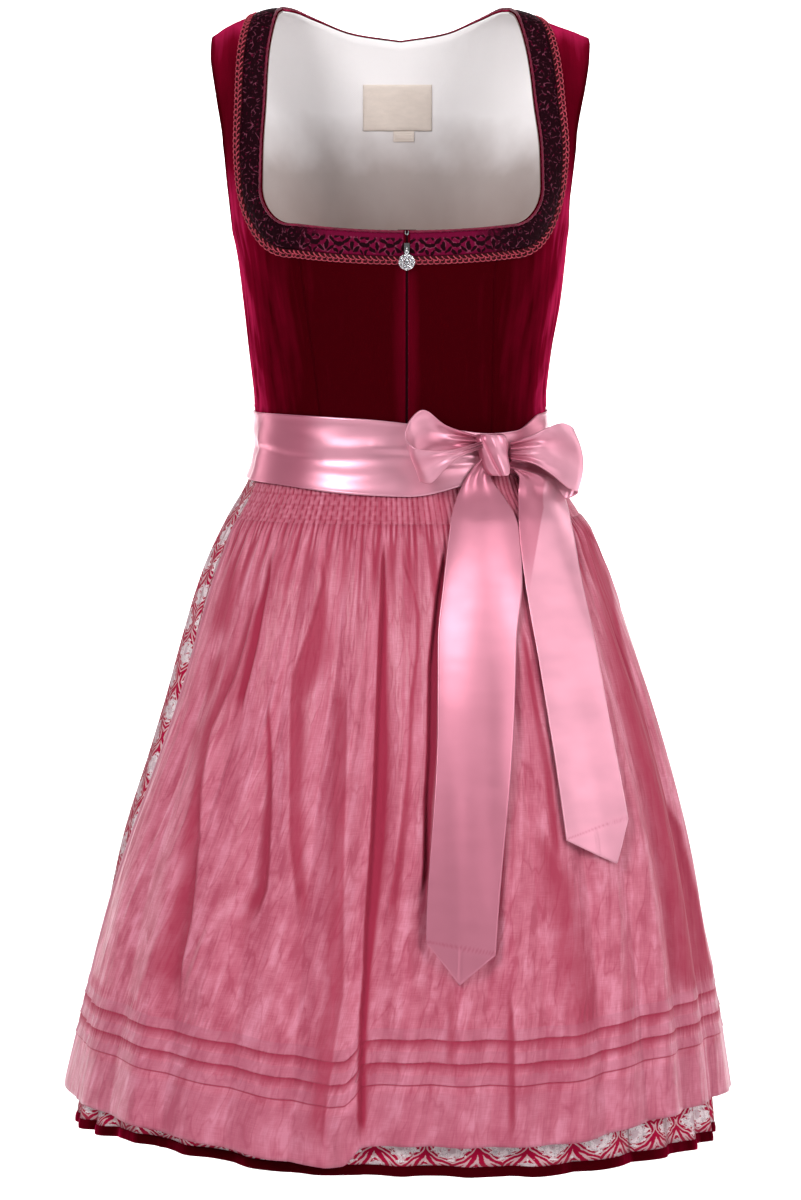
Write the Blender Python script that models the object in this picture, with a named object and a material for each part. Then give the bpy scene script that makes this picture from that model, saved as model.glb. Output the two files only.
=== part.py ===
"""Knee-length dirndl in the hollow form it has when worn.

A velvet bodice with a wide square neck, a pleated print skirt with a velvet hem, a half apron with a
pin-pleated head and three tucks, and a satin sash tied in a bow. Metres, +Z up, the front faces -Y and
+X is the viewer's right. The origin is the middle of the line between the two shoulders, where the
garment hangs on its wearer.

Every cloth is a wall between two grids of points. The grids lie on one form, a stack of rounded rings,
and a place on it has an angle, 0 at the front and growing towards +X, and a distance down from the
shoulder line.
"""

from collections import namedtuple
from math import pi, radians

import bpy
import numpy as np
from mathutils import Vector
from mathutils.bvhtree import BVHTree

# Heights, as distances down from the shoulder line
UNDERARM = 0.205
WAIST = 0.3885
NECK_CENTRE = 0.193
NECK_BACK = 0.052
HEM = 1.014
HEM_BAND = 0.009
SMOCKING_TOP = 0.3915
SMOCKING_END = 0.4520

# Thicknesses and clearances
SEAM = 0.0003
SHOULDER_SEAM = 0.0004
VELVET = 0.0012
LINING = 0.0010
SKIRT_CLOTH = 0.0012
APRON_CLOTH = 0.0011
RIBBON = 0.0010
TRIM_LIE = 0.0009
HOOK_LIE = 0.0006
APRON_LIE = 0.0005

# Across the shoulder, and the rounding of every ring
NECK_LEFT = 0.105
NECK_RIGHT = 0.097
SHOULDER_TIP = 0.168
SLOPE_FADE = 0.15
ROUNDING = 2.3

# The front fastening
ZIP_X = 0.0055
SLIT = 0.0024
ZIP_TAPE = 0.0160
ZIP_THICK = 0.0011
TRIM_SLIT = 0.0056

# The worn form: half widths to the left and right, depths to the front and back of the shoulder line
Ring = namedtuple("Ring", "down height left right front back")
FORM = [
    Ring(0.0000, 0.0000, 0.1840, 0.1840, 0.0000, 0.0000),
    Ring(0.0150, -0.0020, 0.1865, 0.1865, 0.0220, 0.0200),
    Ring(0.0300, -0.0090, 0.1890, 0.1890, 0.0390, 0.0360),
    Ring(0.0500, -0.0270, 0.1910, 0.1900, 0.0550, 0.0520),
    Ring(0.0700, -0.0520, 0.1890, 0.1880, 0.0680, 0.0640),
    Ring(0.0900, -0.0820, 0.1850, 0.1830, 0.0800, 0.0730),
    Ring(0.1100, -0.1070, 0.1800, 0.1780, 0.0910, 0.0800),
    Ring(0.1250, -0.1250, 0.1765, 0.1750, 0.1000, 0.0850),
    Ring(0.1500, -0.1500, 0.1680, 0.1660, 0.1110, 0.0890),
    Ring(0.1700, -0.1700, 0.1595, 0.1575, 0.1180, 0.0910),
    Ring(0.1900, -0.1900, 0.1525, 0.1520, 0.1235, 0.0920),
    Ring(0.2050, -0.2050, 0.1485, 0.1490, 0.1265, 0.0920),
    Ring(0.2200, -0.2200, 0.1455, 0.1475, 0.1280, 0.0915),
    Ring(0.2600, -0.2600, 0.1405, 0.1430, 0.1205, 0.0880),
    Ring(0.3050, -0.3050, 0.1355, 0.1350, 0.1065, 0.0830),
    Ring(0.3500, -0.3500, 0.1305, 0.1300, 0.0955, 0.0800),
    Ring(0.3885, -0.3885, 0.1280, 0.1285, 0.0920, 0.0800),
    Ring(0.4200, -0.4200, 0.1355, 0.1370, 0.1000, 0.0930),
    Ring(0.4500, -0.4500, 0.1520, 0.1550, 0.1150, 0.1120),
    Ring(0.5000, -0.5000, 0.1745, 0.1765, 0.1320, 0.1340),
    Ring(0.6200, -0.6200, 0.2085, 0.2160, 0.1600, 0.1760),
    Ring(0.8000, -0.8000, 0.2570, 0.2555, 0.1880, 0.2200),
    Ring(1.0140, -1.0140, 0.2870, 0.2780, 0.2080, 0.2470),
]

# How far the shoulders fall away from their level, by the distance from the middle
Shoulder = namedtuple("Shoulder", "across left right")
SHOULDERS = [
    Shoulder(0.090, 0.0000, 0.0000),
    Shoulder(0.105, 0.0004, 0.0030),
    Shoulder(0.120, 0.0025, 0.0075),
    Shoulder(0.136, 0.0078, 0.0140),
    Shoulder(0.156, 0.0170, 0.0212),
    Shoulder(0.168, 0.0255, 0.0265),
    Shoulder(0.200, 0.0420, 0.0420),
]

# Edge of the front of the armhole and of the back, as angles in degrees
Armhole = namedtuple("Armhole", "down front back")
ARMHOLE = [
    Armhole(0.0000, 62.0, 118.0),
    Armhole(0.0250, 59.5, 122.0),
    Armhole(0.0500, 58.0, 125.0),
    Armhole(0.0900, 57.0, 127.0),
    Armhole(0.1250, 58.5, 126.0),
    Armhole(0.1500, 62.5, 122.0),
    Armhole(0.1700, 68.5, 116.0),
    Armhole(0.1900, 77.0, 106.0),
    Armhole(0.2050, 90.0, 90.0),
]

# Straight part of the neck edge in front, then its rounded corner down to the level bottom
NeckEdge = namedtuple("NeckEdge", "down left right")
NECK_EDGE = [
    NeckEdge(0.0000, NECK_LEFT, NECK_RIGHT),
    NeckEdge(0.0300, 0.1105, 0.1045),
    NeckEdge(0.0630, 0.1165, 0.1130),
    NeckEdge(0.0880, 0.1185, 0.1175),
    NeckEdge(0.1235, 0.1212, 0.1228),
    NeckEdge(0.1560, 0.1218, 0.1236),
]
CORNER_WIDE = 0.0260
CORNER_TALL = 0.0315
NECK_DIP = 0.0055

# Edge of the neck at the back, as a distance down for each share of the way from shoulder to middle
BackNeck = namedtuple("BackNeck", "share down")
BACK_NECK = [
    BackNeck(0.00, 0.000),
    BackNeck(0.12, 0.018),
    BackNeck(0.30, 0.033),
    BackNeck(0.60, 0.046),
    BackNeck(1.00, NECK_BACK),
]

# The curved seams between the middle front and the sides
Princess = namedtuple("Princess", "down left right")
PRINCESS = [
    Princess(0.1900, 0.0935, 0.0870),
    Princess(0.2410, 0.0866, 0.0825),
    Princess(0.3470, 0.0728, 0.0815),
    Princess(0.3885, 0.0690, 0.0810),
]

# Grid counts of the bodice, the same for the velvet and its lining
BODY_ROWS = 6
STRAP_ROWS = 13
BACK_STRAP_ROWS = 8
CORNER_WEIGHT = 0.028
FRONT_COLUMNS = 3
SIDE_COLUMNS = 5
BACK_STRAP_COLUMNS = 3
BACK_NECK_COLUMNS = 9

# Trim round the neck: each column's distance from the edge and its height over the velvet
TrimColumn = namedtuple("TrimColumn", "across rise")
NECK_TRIM = [
    TrimColumn(0.0002, 0.0013),
    TrimColumn(0.0113, 0.0019),
    TrimColumn(0.0225, 0.0012),
]
GIMP_BRAID = [
    TrimColumn(0.0232, 0.0012),
    TrimColumn(0.0268, 0.0022),
    TrimColumn(0.0304, 0.0012),
]
GIMP_SCALLOP = 0.0006
TRIM_CLEAR = 0.0009
SEAT_SEARCH = 0.02
SEAT_SAMPLES = 7
SEAT_ROUNDS = 3

# Skirt: rows of its wall and how deep its pleats are there
Pleated = namedtuple("Pleated", "down pleat")
SKIRT_ROWS = [
    Pleated(WAIST, 0.0008),
    Pleated(0.4300, 0.0016),
    Pleated(0.5000, 0.0032),
    Pleated(0.6200, 0.0050),
    Pleated(0.8000, 0.0072),
    Pleated(HEM - HEM_BAND, 0.0088),
    Pleated(HEM, 0.0089),
]
SKIRT_PLEATS = 28
LEVEL_START = 0.62

# How far the skirt's hem rises over its level all round, by the angle in degrees
HemLevel = namedtuple("HemLevel", "angle rise")
HEM_LEVEL = [
    HemLevel(-180.0, 0.000),
    HemLevel(-130.0, 0.002),
    HemLevel(-90.0, 0.008),
    HemLevel(-70.0, 0.013),
    HemLevel(-52.0, 0.016),
    HemLevel(-40.0, 0.012),
    HemLevel(-30.0, 0.0075),
    HemLevel(-20.0, 0.001),
    HemLevel(0.0, 0.000),
    HemLevel(25.0, -0.003),
    HemLevel(50.0, 0.001),
    HemLevel(90.0, -0.001),
    HemLevel(180.0, 0.000),
]
PLEAT_STEPS = 4
PLEAT_UNEVEN = 0.22
PLEAT_MIX = 2.4

# Apron: where its two side edges run, as angles in degrees
ApronEdge = namedtuple("ApronEdge", "down left right")
APRON_EDGES = [
    ApronEdge(0.3900, -66.0, 91.0),
    ApronEdge(0.4520, -63.0, 90.0),
    ApronEdge(0.5500, -62.0, 89.0),
    ApronEdge(0.7000, -67.0, 88.0),
    ApronEdge(0.8500, -77.0, 86.0),
    ApronEdge(0.9800, -87.0, 84.0),
]
PIN_PLEATS = 84
PIN_PLEAT_RISE = 0.0012
SMOCKING_INSIDE = 42
GATHERS = 24
GATHER_STEPS = 3
GATHER_RISE = 0.0046
GATHER_START = 0.462
GATHER_END = 0.66
GATHER_UNEVEN = 0.3
GATHER_MIX = 2.1
APRON_ROWS = [0.4523, 0.4700, 0.5000, 0.5500, 0.6200, 0.7100, 0.8000]
TUCKS = [0.093, 0.073, 0.054]
TUCK_DEPTH = 0.009
TUCK_RISE = 0.0013
TUCK_RETURN = 0.0012
FOLD_START = 0.455
FOLD_FULL = 0.72

# Long folds of the apron: angle of the crest above and at the hem, height, and width on either side
Fold = namedtuple("Fold", "above below height left right")
APRON_FOLDS = [
    Fold(-54.0, -66.0, 0.006, 5.0, 7.0),
    Fold(-43.0, -49.0, 0.010, 6.0, 4.0),
    Fold(-32.0, -35.0, 0.009, 6.0, 5.0),
    Fold(-20.0, -23.0, 0.012, 7.0, 5.0),
    Fold(-10.5, -13.0, 0.019, 6.0, 2.6),
    Fold(0.0, 1.0, 0.009, 3.5, 4.0),
    Fold(10.5, 11.0, 0.011, 4.5, 4.0),
    Fold(21.0, 21.5, 0.008, 4.5, 5.0),
    Fold(31.0, 32.0, 0.011, 4.5, 4.5),
    Fold(41.0, 42.0, 0.008, 4.0, 5.0),
    Fold(51.0, 52.5, 0.011, 5.0, 4.0),
    Fold(62.0, 63.0, 0.009, 5.0, 4.5),
    Fold(74.0, 73.0, 0.008, 5.0, 5.0),
]

# The apron's two lower corners stand away from the skirt
Flare = namedtuple("Flare", "down left right")
APRON_FLARE = [
    Flare(0.7000, 0.0000, 0.0000),
    Flare(0.8000, 0.0010, 0.0020),
    Flare(0.9000, 0.0050, 0.0110),
    Flare(0.9700, 0.0110, 0.0150),
]
FLARE_WIDTH = 14.0

ApronHem = namedtuple("ApronHem", "angle down")
APRON_HEM = [
    ApronHem(-88.0, 0.9765),
    ApronHem(-60.0, 0.9885),
    ApronHem(-44.0, 0.9950),
    ApronHem(-35.0, 0.9968),
    ApronHem(-23.0, 0.9990),
    ApronHem(-14.5, 1.0014),
    ApronHem(-10.0, 1.0035),
    ApronHem(-8.3, 0.9970),
    ApronHem(-6.8, 0.9880),
    ApronHem(0.0, 0.9850),
    ApronHem(20.0, 0.9850),
    ApronHem(30.0, 0.9840),
    ApronHem(46.0, 0.9760),
    ApronHem(62.0, 0.9705),
    ApronHem(75.0, 0.9665),
    ApronHem(86.0, 0.9675),
]

# Sash: its two edges round the waist, by the angle in degrees, and the number of steps round
SashEdge = namedtuple("SashEdge", "angle top bottom")
SASH_EDGES = [
    SashEdge(-180.0, 0.3590, 0.4190),
    SashEdge(-90.0, 0.3585, 0.4170),
    SashEdge(-50.0, 0.3575, 0.4190),
    SashEdge(-15.0, 0.3600, 0.4260),
    SashEdge(3.0, 0.3640, 0.4275),
    SashEdge(22.0, 0.3700, 0.4190),
    SashEdge(36.0, 0.3735, 0.4085),
    SashEdge(48.0, 0.3720, 0.4070),
    SashEdge(66.0, 0.3590, 0.4120),
    SashEdge(90.0, 0.3580, 0.4170),
    SashEdge(180.0, 0.3590, 0.4190),
]
SASH_STEPS = 48
SASH_SHARES = [0.0, 0.22, 0.45, 0.70, 1.0]
SASH_SNUG = 0.0006
SASH_OVER_FROM = 0.363
SASH_OVER_TO = 0.386

# Bow: the knot's place on the sash, then the two edges of each loop from the knot's front, round the
# loop and back to the knot, as distances along the waist, out from the sash and up
KNOT_X = 0.087
KNOT_DOWN = 0.392
KNOT_HALF_WIDE = 0.0125
KNOT_HALF_TALL = 0.0205
KNOT_DEEP = 0.0190
KNOT_SIDES = 14
KNOT_SQUARE = 3.2
KNOT_SHARES = [(-1.0, 0.72), (-0.82, 0.90), (-0.45, 1.0), (0.0, 0.97), (0.45, 1.0), (0.82, 0.90), (1.0, 0.72)]
LOOP_STEPS = 18
LOOP_SHARES = 3
LoopPoint = namedtuple("LoopPoint", "along out up")
LEFT_LOOP_TOP = [
    LoopPoint(-0.0148, 0.0130, 0.0070),
    LoopPoint(-0.0350, 0.0230, 0.0045),
    LoopPoint(-0.0620, 0.0270, 0.0040),
    LoopPoint(-0.0840, 0.0200, 0.0080),
    LoopPoint(-0.0930, 0.0060, 0.0220),
    LoopPoint(-0.0800, -0.0030, 0.0380),
    LoopPoint(-0.0550, -0.0030, 0.0340),
    LoopPoint(-0.0300, 0.0020, 0.0250),
    LoopPoint(-0.0148, 0.0060, 0.0150),
]
LEFT_LOOP_BOTTOM = [
    LoopPoint(-0.0148, 0.0125, -0.0100),
    LoopPoint(-0.0350, 0.0150, -0.0180),
    LoopPoint(-0.0600, 0.0160, -0.0250),
    LoopPoint(-0.0780, 0.0120, -0.0270),
    LoopPoint(-0.0870, 0.0020, -0.0140),
    LoopPoint(-0.0780, -0.0040, -0.0080),
    LoopPoint(-0.0550, -0.0030, -0.0080),
    LoopPoint(-0.0300, 0.0015, -0.0080),
    LoopPoint(-0.0148, 0.0060, -0.0080),
]
RIGHT_LOOP_TOP = [
    LoopPoint(0.0154, 0.0130, 0.0120),
    LoopPoint(0.0300, 0.0200, 0.0190),
    LoopPoint(0.0500, 0.0240, 0.0260),
    LoopPoint(0.0660, 0.0190, 0.0260),
    LoopPoint(0.0760, 0.0060, 0.0150),
    LoopPoint(0.0670, -0.0010, 0.0140),
    LoopPoint(0.0480, -0.0020, 0.0120),
    LoopPoint(0.0280, 0.0025, 0.0100),
    LoopPoint(0.0154, 0.0060, 0.0090),
]
RIGHT_LOOP_BOTTOM = [
    LoopPoint(0.0154, 0.0130, -0.0060),
    LoopPoint(0.0300, 0.0200, -0.0060),
    LoopPoint(0.0520, 0.0230, -0.0180),
    LoopPoint(0.0700, 0.0190, -0.0310),
    LoopPoint(0.0790, 0.0100, -0.0390),
    LoopPoint(0.0700, 0.0060, -0.0380),
    LoopPoint(0.0500, 0.0070, -0.0310),
    LoopPoint(0.0300, 0.0085, -0.0220),
    LoopPoint(0.0154, 0.0085, -0.0140),
]

# The two tails of the bow: left and right edge at each distance down, and the pointed end
TailRow = namedtuple("TailRow", "down left right")
LEFT_TAIL = [
    TailRow(0.4131, 0.0775, 0.0865),
    TailRow(0.4330, 0.0480, 0.0905),
    TailRow(0.4500, 0.0440, 0.0940),
    TailRow(0.5000, 0.0360, 0.1020),
    TailRow(0.5500, 0.0312, 0.0970),
    TailRow(0.6200, 0.0310, 0.0940),
    TailRow(0.8000, 0.0215, 0.0800),
    TailRow(0.8500, 0.0210, 0.0770),
]
RIGHT_TAIL = [
    TailRow(0.4131, 0.0873, 0.0960),
    TailRow(0.4330, 0.0960, 0.1270),
    TailRow(0.4500, 0.0985, 0.1390),
    TailRow(0.5000, 0.1040, 0.1510),
    TailRow(0.5500, 0.1120, 0.1600),
    TailRow(0.6200, 0.1215, 0.1705),
    TailRow(0.8000, 0.1450, 0.2000),
]
TailEnd = namedtuple("TailEnd", "share down")
LEFT_TAIL_END = [TailEnd(0.0, 0.807), TailEnd(0.5, 0.844), TailEnd(1.0, 0.818)]
RIGHT_TAIL_END = [TailEnd(0.0, 0.722), TailEnd(0.75, 0.747), TailEnd(1.0, 0.709)]
LEFT_TAIL_ROWS = [0.4131, 0.4330, 0.4500, 0.4750, 0.5000, 0.5600, 0.6200, 0.7100, 0.8000]
RIGHT_TAIL_ROWS = [0.4131, 0.4330, 0.4500, 0.4750, 0.5000, 0.5600, 0.6200]
TAIL_COLUMNS = 4
TAIL_LIE = 0.0007
TAIL_WINDOW = 5.0

# Label inside the back, with a small tab below it
LABEL_LEFT = -0.0340
LABEL_RIGHT = 0.0285
LABEL_TOP = 0.0800
LABEL_BOTTOM = 0.1115
TAB_LEFT = -0.0065
TAB_RIGHT = 0.0125
TAB_BOTTOM = 0.1195
LABEL_THICK = 0.0010
LABEL_GAP = 0.0008

# Zip slider, its hanging pendant, and the hook at the top of the slit
SLIDER_DOWN = 0.2085
SLIDER_WIDE = 0.0046
SLIDER_TALL = 0.0090
SLIDER_THICK = 0.0014
SLIDER_LIE = 0.0004
CHEEK_THICK = 0.0010
CHEEK_REACH = 0.0074
CHEEK_TALL = 0.0032
CHEEK_SET_IN = 0.0002
PIN_RADIUS = 0.0006
PIN_REACH = 0.0063
EYE_RADIUS = 0.0017
EYE_HOLE = 0.0010
EYE_WIDE = 0.0018
STEM_THICK = 0.0014
STEM_TALL = 0.0054
PENDANT_RADIUS = 0.0070
PENDANT_THICK = 0.0022
PENDANT_DROP = 0.0118
PENDANT_PETALS = 8
HOOK_WIRE = 0.0005
HOOK_WIDE = 0.0038
HOOK_TALL = 0.0040
HOOK_DOWN = 0.1955

VELVET_RED = (0.098, 0.002, 0.010)
TRIM_DARK = (0.060, 0.005, 0.025)
GIMP_ROSE = (0.330, 0.045, 0.075)
LINING_GREY = (0.700, 0.640, 0.650)
LABEL_CREAM = (0.790, 0.690, 0.610)
PRINT_PINK = (0.700, 0.480, 0.520)
APRON_PINK = (0.620, 0.150, 0.240)
SATIN_PINK = (0.780, 0.330, 0.460)
SILVER = (0.800, 0.800, 0.820)
ZIP_DARK = (0.050, 0.004, 0.012)


class Smooth:
    """The values of one column of a table, joined by a smooth curve that never swings past them."""

    def __init__(self, rows, column):
        self.places = np.array([row[0] for row in rows], float)
        self.values = np.array([getattr(row, column) for row in rows], float)
        step = np.diff(self.places)
        slope = np.diff(self.values) / step
        self.slopes = np.concatenate([slope[:1], np.zeros(len(slope) - 1), slope[-1:]])
        for i in range(1, len(slope)):
            before, after = slope[i - 1], slope[i]
            if before * after > 0:
                near, far = 2 * step[i] + step[i - 1], step[i] + 2 * step[i - 1]
                self.slopes[i] = (near + far) / (near / before + far / after)

    def __call__(self, place):
        i = np.clip(np.searchsorted(self.places, place) - 1, 0, len(self.places) - 2)
        span = self.places[i + 1] - self.places[i]
        t = np.clip((place - self.places[i]) / span, 0, 1)
        rise = self.values[i + 1] - self.values[i]
        ease = t * t * (3 - 2 * t)
        start = span * self.slopes[i] * t * (1 - t) ** 2
        end = span * self.slopes[i + 1] * t * t * (t - 1)
        return self.values[i] + rise * ease + start + end


def ease(value, start, end):
    """0 before start, 1 after end, and a smooth step between them."""
    t = np.clip((value - start) / (end - start), 0, 1)
    return t * t * (3 - 2 * t)


form_height = Smooth(FORM, "height")
form_left = Smooth(FORM, "left")
form_right = Smooth(FORM, "right")
form_front = Smooth(FORM, "front")
form_back = Smooth(FORM, "back")
shoulder_left = Smooth(SHOULDERS, "left")
shoulder_right = Smooth(SHOULDERS, "right")
hem_level = Smooth(HEM_LEVEL, "rise")


def body_point(angle, down):
    """A point of the form, from the smooth rings."""
    angle, down = np.broadcast_arrays(angle, down)
    sine, cosine = np.sin(angle), np.cos(angle)
    reach = (np.abs(sine) ** ROUNDING + np.abs(cosine) ** ROUNDING) ** (-1 / ROUNDING)
    x = np.where(sine < 0, form_left(down), form_right(down)) * sine * reach
    y = -np.where(cosine > 0, form_front(down), form_back(down)) * cosine * reach
    slope = np.where(x < 0, shoulder_left(np.abs(x)), shoulder_right(np.abs(x)))
    slope = slope * (1 - ease(down, 0, SLOPE_FADE))
    return np.stack([x, y, form_height(down) - slope], axis=-1)


def form_point(angle, down):
    """A point of the form, straight from row to row below the waist as the skirt's wall is."""
    angle, down = np.broadcast_arrays(angle, down)
    rows = np.array([row.down for row in SKIRT_ROWS])
    i = np.clip(np.searchsorted(rows, down, side="right") - 1, 0, len(rows) - 2)
    share = np.clip((down - rows[i]) / (rows[i + 1] - rows[i]), 0, 1)[..., None]
    below = body_point(angle, rows[i]) * (1 - share) + body_point(angle, rows[i + 1]) * share
    degrees = (np.degrees(angle) + 180) % 360 - 180
    below[..., 2] += hem_level(degrees) * np.interp(down, [LEVEL_START, HEM - HEM_BAND], [0, 1])
    return np.where((down < WAIST)[..., None], body_point(angle, down), below)


def pleat_depth(down):
    return np.interp(down, [row.down for row in SKIRT_ROWS], [row.pleat for row in SKIRT_ROWS])


def normals(angle, down):
    """Outward normals of the smooth form."""
    step = 0.0005
    down = np.maximum(down, step)
    along = body_point(angle + step, down) - body_point(angle - step, down)
    across = body_point(angle, down + step) - body_point(angle, down - step)
    out = np.cross(across, along)
    return out / np.linalg.norm(out, axis=-1, keepdims=True)


def level_normals(angle, down):
    """Outward normals that lie level, for the skirt, the apron and the sash."""
    step = 0.002
    along = form_point(angle + step, down) - form_point(angle - step, down)
    out = np.stack([along[..., 1], -along[..., 0], np.zeros(along.shape[:-1])], axis=-1)
    return out / np.linalg.norm(out, axis=-1, keepdims=True)


def on_bodice(angle, down, out):
    return body_point(angle, down) + normals(angle, down) * np.asarray(out)[..., None]


def on_skirt(angle, down, out):
    return form_point(angle, down) + level_normals(angle, down) * np.asarray(out)[..., None]


def angle_at(x, down):
    """The angle in front where the form is x wide at this distance down."""
    half = np.where(np.asarray(x) < 0, form_left(down), form_right(down))
    sine = np.clip(np.abs(x) / half, 0, 1)
    cosine = (1 - sine**ROUNDING) ** (1 / ROUNDING)
    return np.sign(x) * np.arctan2(sine, cosine)


def spread(path, count, weight=0.0):
    """This many places along a path of (angle, down), evenly by length, closer where it turns."""
    points = body_point(path[:, 0], path[:, 1])
    steps = np.diff(points, axis=0)
    reach = np.linalg.norm(steps, axis=1)
    ways = steps / reach[:, None]
    turns = np.arccos(np.clip((ways[1:] * ways[:-1]).sum(1), -1, 1))
    reach[1:] += weight * turns
    length = np.concatenate([[0], np.cumsum(reach)])
    wanted = np.linspace(0, length[-1], count)
    return np.stack([np.interp(wanted, length, path[:, 0]), np.interp(wanted, length, path[:, 1])], 1)


def fill(bottom, top, start, end):
    """Angles and downs of a grid between four edges of (angle, down), its rows from bottom to top."""
    u = np.linspace(0, 1, len(bottom))[None, :, None]
    v = np.linspace(0, 1, len(start))[:, None, None]
    sides = start[:, None] * (1 - u) + end[:, None] * u
    ends = bottom[None] * (1 - v) + top[None] * v
    corners = (bottom[0] * (1 - u) + bottom[-1] * u) * (1 - v) + (top[0] * (1 - u) + top[-1] * u) * v
    grid = sides + ends - corners
    return grid[..., 0], grid[..., 1]


def new_material(name, colour, roughness, metallic=0.0):
    material = bpy.data.materials.new(name)
    material.use_nodes = True
    shader = material.node_tree.nodes["Principled BSDF"]
    shader.inputs["Base Color"].default_value = (*colour, 1.0)
    shader.inputs["Roughness"].default_value = roughness
    shader.inputs["Metallic"].default_value = metallic
    return material


def add_object(name, points, faces, material, origin=(0, 0, 0), smooth=True):
    """A mesh object whose faces point out, with its origin where the piece turns or hangs."""
    points = np.asarray(points) - np.asarray(origin)
    mesh = bpy.data.meshes.new(name)
    mesh.from_pydata(points.tolist(), [], faces)
    corners = points[np.array([face[:3] for face in faces])]
    if np.linalg.det(corners).sum() < 0:
        mesh.flip_normals()
    mesh.materials.append(new_material(name, *material))
    if smooth:
        mesh.shade_smooth()
        mesh.set_sharp_from_angle(angle=radians(50))
    item = bpy.data.objects.new(name, mesh)
    item.location = origin
    bpy.context.scene.collection.objects.link(item)
    return item


def halves(a, b, c, d):
    return [(a, b, c), (a, c, d)]


def add_wall(name, patches, material):
    """One closed wall from patches of (outer grid, inner grid), joined where their points meet."""
    points, index, pairs, faces = [], {}, {}, []

    def number(point, side):
        key = (side, *np.round(point * 1e6).astype(int))
        if key not in index:
            index[key] = len(points)
            points.append(point)
        return index[key]

    edges = set()
    for outer, inner in patches:
        rows, columns = outer.shape[:2]
        outside = [[number(outer[r, c], 0) for c in range(columns)] for r in range(rows)]
        inside = [[number(inner[r, c], 1) for c in range(columns)] for r in range(rows)]
        for r in range(rows):
            pairs.update(zip(outside[r], inside[r]))
        for r in range(rows - 1):
            for c in range(columns - 1):
                a, b = outside[r][c], outside[r][c + 1]
                d, e = outside[r + 1][c], outside[r + 1][c + 1]
                faces += halves(a, b, e, d)
                faces += [tuple(pairs[i] for i in reversed(half)) for half in halves(a, b, e, d)]
                edges |= {(a, b), (b, e), (e, d), (d, a)}
    for a, b in edges:
        if (b, a) not in edges:
            faces += halves(b, a, pairs[a], pairs[b])
    return add_object(name, points, faces, material)


def add_relief_wall(name, outer, inner, material):
    """A closed wall whose outer grid is finer than its plain inner grid."""
    points = np.concatenate([outer.reshape(-1, 3), inner.reshape(-1, 3)])
    outside = np.arange(outer.shape[0] * outer.shape[1]).reshape(outer.shape[:2])
    inside = np.arange(inner.shape[0] * inner.shape[1]).reshape(inner.shape[:2]) + outside.size
    faces = []
    for grid, flip in ((outside, False), (inside, True)):
        for r in range(grid.shape[0] - 1):
            for c in range(grid.shape[1] - 1):
                quad = (grid[r, c], grid[r, c + 1], grid[r + 1, c + 1], grid[r + 1, c])
                faces += halves(*(reversed(quad) if flip else quad))
    borders = [
        (outside[0, ::-1], inside[0, ::-1]),
        (outside[:, 0], inside[:, 0]),
        (outside[-1], inside[-1]),
        (outside[::-1, -1], inside[::-1, -1]),
    ]
    for outer_line, inner_line in borders:
        i = j = 0
        while i < len(outer_line) - 1 or j < len(inner_line) - 1:
            if (i + 1) / (len(outer_line) - 1) <= (j + 0.5) / (len(inner_line) - 1):
                faces.append((outer_line[i], outer_line[i + 1], inner_line[j]))
                i += 1
            else:
                faces.append((outer_line[i], inner_line[j + 1], inner_line[j]))
                j += 1
    return add_object(name, points, [tuple(int(i) for i in face) for face in faces], material)


def grid_normals(grid):
    along = np.gradient(grid, axis=1)
    across = np.gradient(grid, axis=0)
    out = np.cross(along, across)
    return out / np.linalg.norm(out, axis=-1, keepdims=True)


def add_ribbon(name, grid, material):
    """A ribbon of even thickness about a grid of points."""
    half = grid_normals(grid) * RIBBON / 2
    return add_wall(name, [(grid + half, grid - half)], material)


def seam_shift(angle, down, distance):
    """The change of angle that moves a point this far round the form."""
    step = 0.001
    length = np.linalg.norm(body_point(angle + step, down) - body_point(angle - step, down), axis=-1)
    return distance * 2 * step / length


def neck_bottom(x, sign):
    """Distance down of the neck's level bottom edge at x."""
    corner = NECK_EDGE[-1].left if sign < 0 else NECK_EDGE[-1].right
    reach = np.clip(np.abs(x - ZIP_X) / (corner - CORNER_WIDE), 0, 1)
    return NECK_CENTRE - NECK_DIP * reach**2


def princess_line(sign, count):
    """The seam from the waist up to the neck, as (angle, down)."""
    column = "left" if sign < 0 else "right"
    at = Smooth(PRINCESS, column)
    top = neck_bottom(sign * at(NECK_CENTRE), sign)
    down = np.linspace(WAIST - SEAM / 2, top, count)
    return np.stack([angle_at(sign * at(down), down), down], 1)


def neck_line(sign, start_x):
    """The front neck edge from start_x on its bottom, round the corner and up to the shoulder."""
    column = "left" if sign < 0 else "right"
    edge = Smooth(NECK_EDGE, column)
    last = NECK_EDGE[-1]
    wide = getattr(last, column)
    corner_x = wide - CORNER_WIDE
    xs = list(np.linspace(start_x, sign * corner_x, 16))
    downs = [float(neck_bottom(x, sign)) for x in xs]
    corner_down = downs[-1] - CORNER_TALL
    for turn in np.linspace(0, pi / 2, 10)[1:]:
        xs.append(sign * (corner_x + CORNER_WIDE * np.sin(turn)))
        downs.append(corner_down + CORNER_TALL * np.cos(turn))
    for down in np.linspace(corner_down, 0, 24)[1:]:
        xs.append(sign * float(edge(down)))
        downs.append(down)
    xs, downs = np.array(xs), np.array(downs)
    return np.stack([angle_at(xs, downs), downs], 1)


def back_neck_line(count):
    """The back neck edge from the left shoulder to the right one, angles from 270 to 90 degrees."""
    at = Smooth(BACK_NECK, "down")
    x = np.linspace(-NECK_LEFT, NECK_RIGHT, 41)
    share = 1 - np.where(x < 0, -x / NECK_LEFT, x / NECK_RIGHT)
    down = at(share)
    path = np.stack([pi - angle_at(x, down), down], 1)
    return spread(path, count, CORNER_WEIGHT)


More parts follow.
